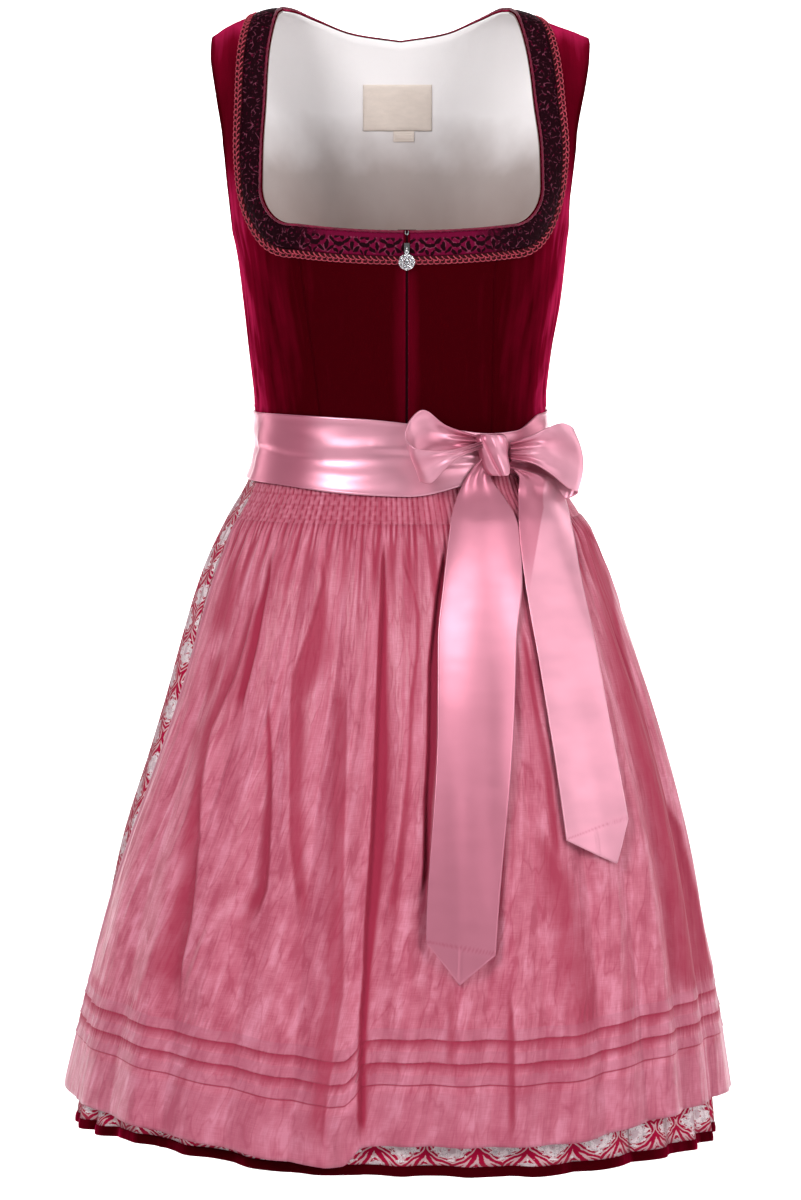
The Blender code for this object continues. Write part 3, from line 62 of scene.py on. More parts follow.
UNDERARM = 0.205
WAIST = 0.3885
NECK_CENTRE = 0.193
NECK_BACK = 0.052
HEM = 1.014
NECK_LEFT = 0.105
NECK_RIGHT = 0.097
SHOULDER_TIP = 0.168
SLOPE_FADE = 0.15
ROUNDING = 2.3
# Tenths of a millimetre in a metre
TENTHS = 10000
ZIP_X = 0.0055
SLIT = 0.0024

# down, height, left, right, front, back
FORM = [
    (0.0, 0.0, 0.184, 0.184, 0.0, 0.0),
    (0.015, -0.002, 0.1865, 0.1865, 0.022, 0.02),
    (0.03, -0.009, 0.189, 0.189, 0.039, 0.036),
    (0.05, -0.027, 0.191, 0.19, 0.055, 0.052),
    (0.07, -0.052, 0.189, 0.188, 0.068, 0.064),
    (0.09, -0.082, 0.185, 0.183, 0.08, 0.073),
    (0.11, -0.107, 0.18, 0.178, 0.091, 0.08),
    (0.125, -0.125, 0.1765, 0.175, 0.1, 0.085),
    (0.15, -0.15, 0.168, 0.166, 0.111, 0.089),
    (0.17, -0.17, 0.1595, 0.1575, 0.118, 0.091),
    (0.19, -0.19, 0.1525, 0.152, 0.1235, 0.092),
    (0.205, -0.205, 0.1485, 0.149, 0.1265, 0.092),
    (0.22, -0.22, 0.1455, 0.1475, 0.128, 0.0915),
    (0.26, -0.26, 0.1405, 0.143, 0.1205, 0.088),
    (0.305, -0.305, 0.1355, 0.135, 0.1065, 0.083),
    (0.35, -0.35, 0.1305, 0.13, 0.0955, 0.08),
    (0.3885, -0.3885, 0.128, 0.1285, 0.092, 0.08),
    (0.42, -0.42, 0.1355, 0.137, 0.1, 0.093),
    (0.45, -0.45, 0.152, 0.155, 0.115, 0.112),
    (0.5, -0.5, 0.1745, 0.1765, 0.132, 0.134),
    (0.62, -0.62, 0.2085, 0.216, 0.16, 0.176),
    (0.8, -0.8, 0.257, 0.2555, 0.188, 0.22),
    (1.014, -1.014, 0.287, 0.278, 0.208, 0.247),
]

# How far the shoulders fall: across, left, right
SHOULDERS = [
    (0.09, 0.0, 0.0), (0.105, 0.0004, 0.003), (0.12, 0.0025, 0.0075), (0.136, 0.0078, 0.014),
    (0.156, 0.017, 0.0212), (0.168, 0.0255, 0.0265), (0.2, 0.042, 0.042),
]

# Armhole: down, edge of the front and of the back in degrees
ARMHOLE = [
    (0.0, 62.0, 118.0), (0.025, 59.5, 122.0), (0.05, 58.0, 125.0), (0.09, 57.0, 127.0),
    (0.125, 58.5, 126.0), (0.15, 62.5, 122.0), (0.17, 68.5, 116.0), (0.19, 77.0, 106.0),
    (0.205, 90.0, 90.0),
]

# Straight part of the neck edge in front: down, left, right
NECK_EDGE = [
    (0.0, NECK_LEFT, NECK_RIGHT),
    (0.03, 0.1105, 0.1045),
    (0.063, 0.1165, 0.113),
    (0.088, 0.1185, 0.1175),
    (0.1235, 0.1212, 0.1228),
    (0.156, 0.1218, 0.1236),
]
CORNER_WIDE = 0.026
CORNER_TALL = 0.0315
NECK_DIP = 0.0055

# Neck at the back: share of the way from shoulder to middle, down
BACK_NECK = [(0.0, 0.0), (0.12, 0.018), (0.3, 0.033), (0.6, 0.046), (1.0, NECK_BACK)]

# Curved seams of the front: down, left, right
PRINCESS = [
    (0.19, 0.0935, 0.087), (0.241, 0.0866, 0.0825), (0.347, 0.0728, 0.0815), (0.3885, 0.069, 0.081),
]

# Skirt: down and depth of its pleats; then the rise of its hem: degrees, rise
PLEATED = [
    (WAIST, 0.0008),
    (0.43, 0.0016),
    (0.5, 0.0032),
    (0.62, 0.005),
    (0.8, 0.0072),
    (HEM, 0.0089),
]
HEM_LEVEL = [
    (-180.0, 0.0), (-130.0, 0.002), (-90.0, 0.008), (-70.0, 0.013), (-52.0, 0.016), (-40.0, 0.012),
    (-30.0, 0.0075), (-20.0, 0.001), (0.0, 0.0), (25.0, -0.003), (50.0, 0.001), (90.0, -0.001),
    (180.0, 0.0),
]
LEVEL_START = 0.62

# Apron: its side edges in degrees by the distance down, its flared corners, and its hem by the angle
APRON_EDGES = [
    (0.39, -66.0, 91.0), (0.452, -63.0, 90.0), (0.55, -62.0, 89.0), (0.7, -67.0, 88.0),
    (0.85, -77.0, 86.0), (0.98, -87.0, 84.0),
]
APRON_FLARE = [
    (0.7, 0.0, 0.0), (0.8, 0.001, 0.002), (0.9, 0.005, 0.011), (0.97, 0.011, 0.015),
]
FLARE_WIDTH = 14.0
APRON_HEM = [
    (-88.0, 0.9765), (-60.0, 0.9885), (-44.0, 0.995), (-35.0, 0.9968), (-23.0, 0.999), (-14.5, 1.0014),
    (-10.0, 1.0035), (-8.3, 0.997), (-6.8, 0.988), (0.0, 0.985), (20.0, 0.985), (30.0, 0.984),
    (46.0, 0.976), (62.0, 0.9705), (75.0, 0.9665), (86.0, 0.9675),
]
SMOCKING_TOP = 0.3915
SMOCKING_END = 0.452
STITCHED_EVERY = 0.0042
APRON_LIE = 0.0005
APRON_CLOTH = 0.0011

# Sash: degrees, its upper and lower edge
SASH_EDGES = [
    (-180.0, 0.359, 0.419), (-90.0, 0.3585, 0.417), (-50.0, 0.3575, 0.419), (-15.0, 0.36, 0.426),
    (3.0, 0.364, 0.4275), (22.0, 0.37, 0.419), (36.0, 0.3735, 0.4085), (48.0, 0.372, 0.407),
    (66.0, 0.359, 0.412), (90.0, 0.358, 0.417), (180.0, 0.359, 0.419),
]
SASH_SNUG = 0.0006
SASH_LOWEST = 0.433
RIBBON = 0.001


def cell(places, place):
    """The step of a rising row of places that a place lies in, and its share of the way through it."""
    i = np.clip(np.searchsorted(places, place) - 1, 0, len(places) - 2)
    return i, np.clip((place - places[i]) / (places[i + 1] - places[i]), 0, 1)


class Smooth:
    """One column of a table against its first, as a smooth curve that never swings past the values."""

    def __init__(self, rows, column):
        self.places = np.array([row[0] for row in rows], float)
        self.values = np.array([row[column] for row in rows], float)
        step = np.diff(self.places)
        slope = np.diff(self.values) / step
        self.slopes = np.concatenate([slope[:1], np.zeros(len(slope) - 1), slope[-1:]])
        for i in range(1, len(slope)):
            before, after = slope[i - 1], slope[i]
            if before * after > 0:
                near, far = 2 * step[i] + step[i - 1], step[i] + 2 * step[i - 1]
                self.slopes[i] = (near + far) / (near / before + far / after)

    def __call__(self, place):
        i, t = cell(self.places, place)
        span = self.places[i + 1] - self.places[i]
        rise = self.values[i + 1] - self.values[i]
        start = span * self.slopes[i] * t * (1 - t) ** 2
        end = span * self.slopes[i + 1] * t * t * (t - 1)
        return self.values[i] + rise * t * t * (3 - 2 * t) + start + end


def ease(value, start, end):
    """0 before start, 1 after end, and a smooth step between them."""
    t = np.clip((value - start) / (end - start), 0, 1)
    return t * t * (3 - 2 * t)


def hump(x, width):
    """1 at 0, falling away on both sides, to a third at this width."""
    return np.exp(-((x / width) ** 2))


def unit(vectors):
    return vectors / np.linalg.norm(vectors, axis=-1, keepdims=True)


def run_length(points):
    """Distance along a line of points."""
    steps = np.linalg.norm(np.diff(points, axis=0), axis=1)
    return np.concatenate([[0], np.cumsum(steps)])


form_height, form_left, form_right, form_front, form_back = (Smooth(FORM, i) for i in range(1, 6))
shoulder_left, shoulder_right = Smooth(SHOULDERS, 1), Smooth(SHOULDERS, 2)
pleat_depth = Smooth(PLEATED, 1)
hem_level = Smooth(HEM_LEVEL, 1)
apron_left, apron_right = Smooth(APRON_EDGES, 1), Smooth(APRON_EDGES, 2)
flare_left, flare_right = Smooth(APRON_FLARE, 1), Smooth(APRON_FLARE, 2)
apron_hem = Smooth(APRON_HEM, 1)


def turned(angle):
    """The angle in degrees, from -180 to 180."""
    return (np.degrees(angle) + 180) % 360 - 180


def rounded(angle, power):
    """How far a rounded square reaches at an angle, against a circle."""
    return (np.abs(np.sin(angle)) ** power + np.abs(np.cos(angle)) ** power) ** (-1 / power)


def body_point(angle, down):
    """A point of the form."""
    angle, down = np.broadcast_arrays(angle, down)
    sine, cosine = np.sin(angle), np.cos(angle)
    reach = rounded(angle, ROUNDING)
    x = np.where(sine < 0, form_left(down), form_right(down)) * sine * reach
    y = -np.where(cosine > 0, form_front(down), form_back(down)) * cosine * reach
    slope = np.where(x < 0, shoulder_left(np.abs(x)), shoulder_right(np.abs(x)))
    slope = slope * (1 - ease(down, 0, SLOPE_FADE))
    return np.stack([x, y, form_height(down) - slope], axis=-1)


def form_point(angle, down):
    """A point of the form with the skirt's hem level worked in."""
    point = body_point(angle, down)
    point[..., 2] += hem_level(turned(angle)) * np.clip((down - LEVEL_START) / (HEM - LEVEL_START), 0, 1)
    return point


def normals(angle, down):
    """Outward normals of the form."""
    step = 0.0005
    down = np.maximum(down, step)
    along = body_point(angle + step, down) - body_point(angle - step, down)
    across = body_point(angle, down + step) - body_point(angle, down - step)
    return unit(np.cross(across, along))


def level_normals(angle, down):
    """Outward normals that lie level, for the skirt, the apron and the sash."""
    step = 0.002
    along = body_point(angle + step, down) - body_point(angle - step, down)
    return unit(np.stack([along[..., 1], -along[..., 0], np.zeros(along.shape[:-1])], axis=-1))


def on_bodice(angle, down, out):
    return body_point(angle, down) + normals(angle, down) * np.asarray(out)[..., None]


def on_skirt(angle, down, out):
    return form_point(angle, down) + level_normals(angle, down) * np.asarray(out)[..., None]


def angle_at(x, down):
    """The angle in front where the form is x wide at this distance down."""
    half = np.where(np.asarray(x) < 0, form_left(down), form_right(down))
    sine = np.clip(np.abs(x) / half, 0, 1)
    cosine = (1 - sine**ROUNDING) ** (1 / ROUNDING)
    return np.sign(x) * np.arctan2(sine, cosine)


def girth(angle, down):
    """Metres round the form for each radian."""
    step = 0.001
    along = body_point(angle + step, down) - body_point(angle - step, down)
    return np.linalg.norm(along, axis=-1) / (2 * step)


def spread(path, count):
    """This many places along a path of (angle, down), evenly by length."""
    length = run_length(body_point(path[:, 0], path[:, 1]))
    wanted = np.linspace(0, length[-1], count)
    return np.stack([np.interp(wanted, length, path[:, 0]), np.interp(wanted, length, path[:, 1])], 1)


def fill(bottom, top, start, end):
    """Angles and downs of a grid between four edges of (angle, down), its rows from bottom to top."""
    u = np.linspace(0, 1, len(bottom))[None, :, None]
    v = np.linspace(0, 1, len(start))[:, None, None]
    sides = start[:, None] * (1 - u) + end[:, None] * u
    ends = bottom[None] * (1 - v) + top[None] * v
    corners = (bottom[0] * (1 - u) + bottom[-1] * u) * (1 - v) + (top[0] * (1 - u) + top[-1] * u) * v
    grid = sides + ends - corners
    return grid[..., 0], grid[..., 1]


def ridges(angle, down, lines):
    """Creases drawn on the cloth: ((degrees, down), ... ), height and width of each."""
    total = np.zeros(np.broadcast(angle, down).shape)
    here = np.stack(np.broadcast_arrays(np.radians(turned(angle)) * BODICE_ROUND, down), -1)
    for line, height, width in lines:
        path = np.array([(radians(degrees) * BODICE_ROUND, low) for degrees, low in line])
        nearest = np.full(total.shape, np.inf)
        share = np.zeros(total.shape)
        for i, (start, end) in enumerate(zip(path[:-1], path[1:])):
            way = end - start
            t = np.clip(((here - start) @ way) / (way @ way), 0, 1)
            gap = np.linalg.norm(here - start - t[..., None] * way, axis=-1)
            closer = gap < nearest
            nearest = np.where(closer, gap, nearest)
            share = np.where(closer, (i + t) / (len(path) - 1), share)
        strength = np.sqrt(np.clip(np.sin(pi * np.clip(share, 0.02, 0.98)), 0, 1))
        total += height * strength * hump(nearest, width)
    return total


# ---- places on the bodice

# Metres of cloth round the waist for each radian
BODICE_ROUND = 0.13
SASH_ROUND = 0.125
BODY_ROWS = 48
STRAP_ROWS = 76
BACK_STRAP_ROWS = 44
FRONT_COLUMNS = 26
SIDE_COLUMNS = 34
BACK_STRAP_COLUMNS = 20
BACK_NECK_COLUMNS = 60


def neck_bottom(x, sign):
    """Distance down of the neck's level bottom edge at x."""
    corner = NECK_EDGE[-1][1] if sign < 0 else NECK_EDGE[-1][2]
    reach = np.clip(np.abs(x - ZIP_X) / (corner - CORNER_WIDE), 0, 1)
    return NECK_CENTRE - NECK_DIP * reach**2


def princess_line(sign, count):
    """The curved seam from the waist up to the neck, as (angle, down)."""
    at = Smooth(PRINCESS, 1 if sign < 0 else 2)
    down = np.linspace(WAIST, neck_bottom(sign * at(NECK_CENTRE), sign), count)
    return np.stack([angle_at(sign * at(down), down), down], 1)


def neck_line(sign, start_x):
    """The front neck edge from start_x on its bottom, round the corner and up to the shoulder."""
    column = 1 if sign < 0 else 2
    edge = Smooth(NECK_EDGE, column)
    corner_x = NECK_EDGE[-1][column] - CORNER_WIDE
    xs = list(np.linspace(start_x, sign * corner_x, 40))
    downs = [float(neck_bottom(x, sign)) for x in xs]
    corner_down = downs[-1] - CORNER_TALL
    for turn in np.linspace(0, pi / 2, 30)[1:]:
        xs.append(sign * (corner_x + CORNER_WIDE * sin(turn)))
        downs.append(corner_down + CORNER_TALL * cos(turn))
    for down in np.linspace(corner_down, 0, 90)[1:]:
        xs.append(sign * float(edge(down)))
        downs.append(down)
    return np.stack([angle_at(np.array(xs), np.array(downs)), downs], 1)


def back_neck_line(count):
    """The back neck edge from the left shoulder to the right one, angles from 270 to 90 degrees."""
    at = Smooth(BACK_NECK, 1)
    x = np.linspace(-NECK_LEFT, NECK_RIGHT, 201)
    down = at(1 - np.where(x < 0, -x / NECK_LEFT, x / NECK_RIGHT))
    return spread(np.stack([pi - angle_at(x, down), down], 1), count)


def armhole_line(sign, side, count):
    """The armhole's edge from the underarm to the shoulder tip, on the front or the back."""
    at = Smooth(ARMHOLE, 1 if side == "front" else 2)
    down = np.linspace(UNDERARM, 0, 160)
    angle = np.radians(at(down))
    tip = angle_at(SHOULDER_TIP, 0.0)
    angle[-1] = tip if side == "front" else pi - tip
    return spread(np.stack([sign * angle if side == "front" or sign > 0 else 2 * pi - angle, down], 1), count)


def side_line(sign, side):
    """Side seam and armhole in one, from the waist to the shoulder tip."""
    seam = sign * pi / 2 if side == "front" or sign > 0 else 3 * pi / 2
    down = np.linspace(WAIST, UNDERARM, BODY_ROWS + 1)
    arm = armhole_line(sign, side, (STRAP_ROWS if side == "front" else BACK_STRAP_ROWS) + 1)
    return np.concatenate([np.stack([np.full(len(down), seam), down], 1), arm[1:]])


def shoulder_line(sign, side):
    """The shoulder seam from the neck to the tip."""
    neck = NECK_LEFT if sign < 0 else NECK_RIGHT
    columns = SIDE_COLUMNS if side == "front" else BACK_STRAP_COLUMNS
    front = angle_at(sign * np.linspace(neck, SHOULDER_TIP, columns + 1), 0.0)
    return np.stack([front if side == "front" else pi - front, np.zeros(columns + 1)], 1)


def front_patch(sign):
    """Places of the middle front panel, from the slit to the curved seam."""
    seam = princess_line(sign, BODY_ROWS + 1)
    x = ZIP_X + sign * SLIT / 2
    down = np.linspace(WAIST, neck_bottom(x, sign), BODY_ROWS + 1)
    centre = np.stack([angle_at(x, down), down], 1)
    bottom = np.linspace(centre[0], seam[0], FRONT_COLUMNS + 1)
    top_angle = np.linspace(centre[-1, 0], seam[-1, 0], FRONT_COLUMNS + 1)
    top_x = body_point(top_angle, np.full(FRONT_COLUMNS + 1, NECK_CENTRE))[:, 0]
    top = np.stack([top_angle, neck_bottom(top_x, sign)], 1)
    top[-1] = seam[-1]
    return fill(bottom, top, centre, seam)


def side_patch(sign):
    """Places of the side front panel with its strap, from the curved seam to the side seam."""
    seam = princess_line(sign, BODY_ROWS + 1)
    start_x = float(body_point(seam[-1, 0], seam[-1, 1])[0])
    neck = spread(neck_line(sign, start_x), STRAP_ROWS + 1)
    start = np.concatenate([seam, neck[1:]])
    end = side_line(sign, "front")
    top = shoulder_line(sign, "front")
    start[-1], end[-1] = top[0], top[-1]
    return fill(np.linspace(start[0], end[0], SIDE_COLUMNS + 1), top, start, end)


def back_patch():
    """Places of the whole back, from the right side seam to the left one."""
    start, end = side_line(1, "back"), side_line(-1, "back")
    neck = back_neck_line(BACK_NECK_COLUMNS + 1)[::-1]
    top = np.concatenate([shoulder_line(1, "back")[::-1][:-1], neck, shoulder_line(-1, "back")[1:]])
    start[-1], end[-1] = top[0], top[-1]
    angle = np.linspace(start[0, 0], end[0, 0], len(top))
    return fill(np.stack([angle, np.full(len(top), WAIST)], 1), top, start, end)


TRIM_FROM_SLIT = 0.0028


def trim_path(step):
    """The neck edge all round from the left of the slit to its right, with places this far apart."""
    parts = []
    left, right = (neck_line(sign, ZIP_X + sign * TRIM_FROM_SLIT) for sign in (-1, 1))
    for path in (left, back_neck_line(200), right[::-1]):
        length = np.linalg.norm(np.diff(body_point(path[:, 0], path[:, 1]), axis=0), axis=1).sum()
        parts.append(spread(path, int(length / step) + 2))
    return np.concatenate([parts[0], parts[1][1:-1], parts[2]])


def beside(path, distance):
    """The path moved over the form by this distance, away from the neck opening."""
    angle, down = path[:, 0].copy(), path[:, 1].copy()
    along = np.gradient(body_point(angle, down), axis=0)
    steps = 6
    small = 0.0005
    for _ in range(steps):
        away = np.cross(normals(angle, down), along)
        away *= distance / steps / np.linalg.norm(away, axis=1, keepdims=True)
        low = np.maximum(down, small)
        by_angle = (body_point(angle + small, low) - body_point(angle - small, low)) / (2 * small)
        by_down = (body_point(angle, low + small) - body_point(angle, low - small)) / (2 * small)
        aa, dd, ad = (by_angle**2).sum(1), (by_down**2).sum(1), (by_angle * by_down).sum(1)
        ra, rd = (away * by_angle).sum(1), (away * by_down).sum(1)
        scale = aa * dd - ad**2
        angle += (ra * dd - rd * ad) / scale
        down = np.maximum(down + (rd * aa - ra * ad) / scale, 0)
    return np.stack([angle, down], 1)


# ---- making cloth


def lengths(points, axis):
    """Distance along each row (axis 1) or column (axis 0) of a grid of points."""
    steps = np.linalg.norm(np.diff(points, axis=axis), axis=-1)
    return np.concatenate([np.zeros_like(np.take(steps, [0], axis)), np.cumsum(steps, axis)], axis)


def add_cloth(name, patches, finish, wrap=False):
    """One closed wall of cloth from patches of (outer grid, inner grid, uv grid).

    A wrapped cloth closes on itself, and its uv grid has one more column than its points."""
    points, corners, uvs, uv_corners = [], [], [], []
    base = uv_base = 0
    for outer, inner, uv in patches:
        rows, columns = outer.shape[:2]
        size = rows * columns
        index = np.arange(size).reshape(rows, columns)
        uv_index = np.arange(uv.shape[0] * uv.shape[1]).reshape(uv.shape[:2])
        if wrap:
            index = closed(index)
        faces = []
        for grid, step in ((index, size), (uv_index, 0)):
            front = np.stack([grid[:-1, :-1], grid[:-1, 1:], grid[1:, 1:], grid[1:, :-1]], -1).reshape(-1, 4)
            lines = [grid[0], grid[-1][::-1]]
            if not wrap:
                lines += [grid[:, -1], grid[::-1, 0]]
            rims = [np.stack([at[1:], at[:-1], at[:-1] + step, at[1:] + step], -1) for at in lines]
            faces.append(np.concatenate([front, front[:, ::-1] + step, *rims]))
        points += [outer.reshape(-1, 3), inner.reshape(-1, 3)]
        uvs.append(uv.reshape(-1, 2))
        first, second, third = (outer.reshape(-1, 3)[i] for i in faces[0][0][:3])
        out = outer[0, 0] - inner[0, 0]
        if np.dot(np.cross(second - first, third - second), out) < 0:
            faces = [part[:, ::-1] for part in faces]
        corners.append(faces[0] + base)
        uv_corners.append(faces[1] + uv_base)
        base += 2 * size
        uv_base += len(uvs[-1])
    flat = np.concatenate(uvs)[np.concatenate(uv_corners).ravel()]
    return add_faces(name, np.concatenate(points), np.concatenate(corners), flat, finish)


def add_faces(name, points, faces, uv, finish):
    """A piece from its points and faces and, for every corner of a face, its place on the cloth."""
    mesh = bpy.data.meshes.new(name)
    mesh.from_pydata(points.tolist(), [], faces.tolist())
    mesh.uv_layers.new(name="UVMap").data.foreach_set("uv", uv.astype(np.float32).ravel())
    return add_piece(name, mesh, finish)


def add_piece(name, mesh, finish):
    """The mesh as a smooth piece of the scene in one finish."""
    mesh.materials.append(finish)
    mesh.shade_smooth()
    return add_object(name, mesh)


def add_object(name, data):
    made = bpy.data.objects.new(name, data)
    bpy.context.scene.collection.objects.link(made)
    return made


def closed(grid):
    """The grid with its first column again at its end."""
    return np.concatenate([grid, grid[:, :1]], 1)


def add_sheet(name, points, uv, finish):
    """A single sheet of cloth from a grid of points and a grid of lengths along the cloth."""
    rows, columns = points.shape[:2]
    index = np.arange(rows * columns).reshape(rows, columns)
    faces = np.stack([index[:-1, :-1], index[1:, :-1], index[1:, 1:], index[:-1, 1:]], -1).reshape(-1, 4)
    return add_faces(name, points.reshape(-1, 3), faces, uv.reshape(-1, 2)[faces.ravel()], finish)


def mark_points(piece, name, values):
    """A number stored on every point of a piece for its finish."""
    mark = piece.data.attributes.new(name, "FLOAT", "POINT")
    mark.data.foreach_set("value", np.ravel(values).astype(np.float32))


def mark_wall(piece, name, values):
    """The same on both faces of a wall of cloth."""
    mark_points(piece, name, np.tile(np.ravel(values), 2))


def uv_grid(u, v):
    """A UV grid from lengths across and along the cloth."""
    return np.stack(np.broadcast_arrays(u, v), -1)


def cloth_uv(points):
    """Lengths along the cloth in metres, measured from its middle column and its top row."""
    u, v = lengths(points, 1), lengths(points, 0)
    u = u - u[:, [points.shape[1] // 2]]
    return uv_grid(u, -v)


LEAST_SIDE = 0.0101


def settle(piece, node, grids, wide=None):
    """The piece stands for its solid and rides on the garment; the cut of what shows of it is worked out but
    not kept.

    Its flat width is wide where that is given, for a cloth whose rows don't all lie straight."""
    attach(piece, "garment")
    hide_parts(node)
    width = sum(float(lengths(grid, 1)[:, -1].max()) for grid in grids)
    length = max(float(lengths(grid, 0)[-1].max()) for grid in grids)
    width, length = max(wide or width, LEAST_SIDE), max(length, LEAST_SIDE)
    for grid in grids:
        side, rise = grid[:-1, 1:] - grid[:-1, :-1], grid[1:, :-1] - grid[:-1, :-1]
    return piece


def lay_cloth(name, patches, finish, wrap=False, wide=None):
    """A wall of cloth that stands for the solid of its name, its cut measured on its outer face."""
    grids = [closed(outer) if wrap else outer for outer, _, _ in patches]
    return settle(add_cloth(name, patches, finish, wrap), name, grids, wide)


def add_tube(points, radius, sides):
    """Points and faces of a cord along a line of points."""
    along = unit(np.gradient(points, axis=0))
    up = np.zeros_like(along)
    up[:, 2] = 1
    up[np.abs(along[:, 2]) > 0.95] = (0, 1, 0)
    side = unit(np.cross(along, up))
    other = np.cross(side, along)
    turn = np.linspace(0, 2 * pi, sides, endpoint=False)
    circles = np.cos(turn)[None, :, None] * side[:, None] + np.sin(turn)[None, :, None] * other[:, None]
    grid = points[:, None] + np.reshape(radius, (-1, 1, 1)) * circles
    index = np.arange(len(points) * sides).reshape(len(points), sides)
    after = np.roll(index, -1, axis=1)
    faces = np.stack([index[:-1], after[:-1], after[1:], index[1:]], -1).reshape(-1, 4)
    return grid.reshape(-1, 3), faces


def gather_parts(name, parts, finish, smooth=True):
    """One piece from parts of (points, faces)."""
    points, faces, count = [], [], 0
    for some, quads in parts:
        points += [tuple(p) for p in some]
        faces += [tuple(int(i) + count for i in face) for face in quads]
        count += len(some)
    mesh = bpy.data.meshes.new(name)
    mesh.from_pydata(points, [], faces)
    mesh.validate()
    piece = add_piece(name, mesh, finish)
    if not smooth:
        mesh.shade_flat()
    return piece


# ---- finishes


class Amount:
    """A number that varies over a cloth, worked out by Math nodes."""

    def __init__(self, tree, socket):
        self.tree, self.socket = tree, socket

    def do(self, operation, *others, clamp=False):
        node = self.tree.nodes.new("ShaderNodeMath")
        node.operation, node.use_clamp = operation, clamp
        for entry, value in zip(node.inputs, (self, *others)):
            if isinstance(value, Amount):
                self.tree.links.new(value.socket, entry)
            else:
                entry.default_value = value
        return Amount(self.tree, node.outputs[0])

    def __add__(self, other):
        return self.do("ADD", other)

    def __sub__(self, other):
        return self.do("SUBTRACT", other)

    def __mul__(self, other):
        return self.do("MULTIPLY", other)

    def __neg__(self):
        return self.do("MULTIPLY", -1.0)

    def wave(self, length):
        """-1 to 1 and back over each length."""
        return (self * (2 * pi / length)).do("COSINE")

    def fold(self, length):
        """Distance from the nearest whole multiple of this length."""
        return self.do("PINGPONG", length / 2)

    def step(self, start, end):
        """0 at start, 1 at end and a straight ramp between."""
        node = self.tree.nodes.new("ShaderNodeMapRange")
        self.tree.links.new(self.socket, node.inputs["Value"])
        node.inputs["From Min"].default_value = start
        node.inputs["From Max"].default_value = end
        return Amount(self.tree, node.outputs["Result"])

    def hypot(self, other):
        return (self * self + other * other).do("SQRT")


class Finish:
    """A cloth's or metal's material: numbers set on the shader itself, patterns linked to it."""

    def __init__(self, name, **values):
        self.material = bpy.data.materials.new(name)
        self.material.use_nodes = True
        self.tree = self.material.node_tree
        self.shader = self.tree.nodes["Principled BSDF"]
        for key, value in values.items():
            socket = self.shader.inputs[key.replace("_", " ").title().replace("Ior", "IOR")]
            socket.default_value = value if isinstance(value, float) else (*value, 1.0)

    def cloth(self):
        """Lengths along the cloth, in metres."""
        node = self.tree.nodes.new("ShaderNodeTexCoord")
        parts = self.tree.nodes.new("ShaderNodeSeparateXYZ")
        self.tree.links.new(node.outputs["UV"], parts.inputs[0])
        return Amount(self.tree, parts.outputs[0]), Amount(self.tree, parts.outputs[1])

    def marked(self, name):
        """A number stored on the mesh."""
        node = self.tree.nodes.new("ShaderNodeAttribute")
        node.attribute_name = name
        return Amount(self.tree, node.outputs["Fac"])

    def turning(self):
        """0 where the cloth faces the eye, 1 where it turns away."""
        node = self.tree.nodes.new("ShaderNodeLayerWeight")
        return Amount(self.tree, node.outputs["Facing"])

    def noise(self, across, along, detail=2.0, space="UV"):
        """Soft blotches of these sizes in metres, 0 to 1."""
        place = self.tree.nodes.new("ShaderNodeTexCoord")
        scale = self.tree.nodes.new("ShaderNodeMapping")
        scale.inputs["Scale"].default_value = (1 / across, 1 / along, 1 / across)
        node = self.tree.nodes.new("ShaderNodeTexNoise")
        node.inputs["Scale"].default_value = 1.0
        node.inputs["Detail"].default_value = detail
        self.tree.links.new(place.outputs[space], scale.inputs[0])
        self.tree.links.new(scale.outputs[0], node.inputs["Vector"])
        return Amount(self.tree, node.outputs["Fac"])

    def shades(self, amount, *stops):
        """Colours along an amount, as (place, colour)."""
        node = self.tree.nodes.new("ShaderNodeValToRGB")
        ramp = node.color_ramp
        while len(ramp.elements) < len(stops):
            ramp.elements.new(0.5)
        for element, (place, colour) in zip(ramp.elements, stops):
            element.position, element.color = place, (*colour, 1.0)
        self.tree.links.new(amount.socket, node.inputs[0])
        return node.outputs[0]

    def over(self, amount, below, above):
        """One colour over another by an amount."""
        node = self.tree.nodes.new("ShaderNodeMix")
        node.data_type = "RGBA"
        self.tree.links.new(amount.socket, node.inputs["Factor"])
        sockets = [entry for entry in node.inputs if entry.type == "RGBA"]
        for entry, value in zip(sockets, (below, above)):
            if isinstance(value, bpy.types.NodeSocket):
                self.tree.links.new(value, entry)
            else:
                entry.default_value = (*value, 1.0)
        return [out for out in node.outputs if out.type == "RGBA"][0]

    def colour(self, socket):
        self.tree.links.new(socket, self.shader.inputs["Base Color"])

    def roughness(self, amount):
        self.tree.links.new(amount.socket, self.shader.inputs["Roughness"])

    def relief(self, amount, height, strength=1.0):
        """Bumps of this height in metres."""
        node = self.tree.nodes.new("ShaderNodeBump")
        node.inputs["Distance"].default_value = height
        node.inputs["Strength"].default_value = strength
        self.tree.links.new(amount.socket, node.inputs["Height"])
        self.tree.links.new(node.outputs[0], self.shader.inputs["Normal"])


def darker(colour, part):
    """This part of a colour."""
    return tuple(part * c for c in colour)


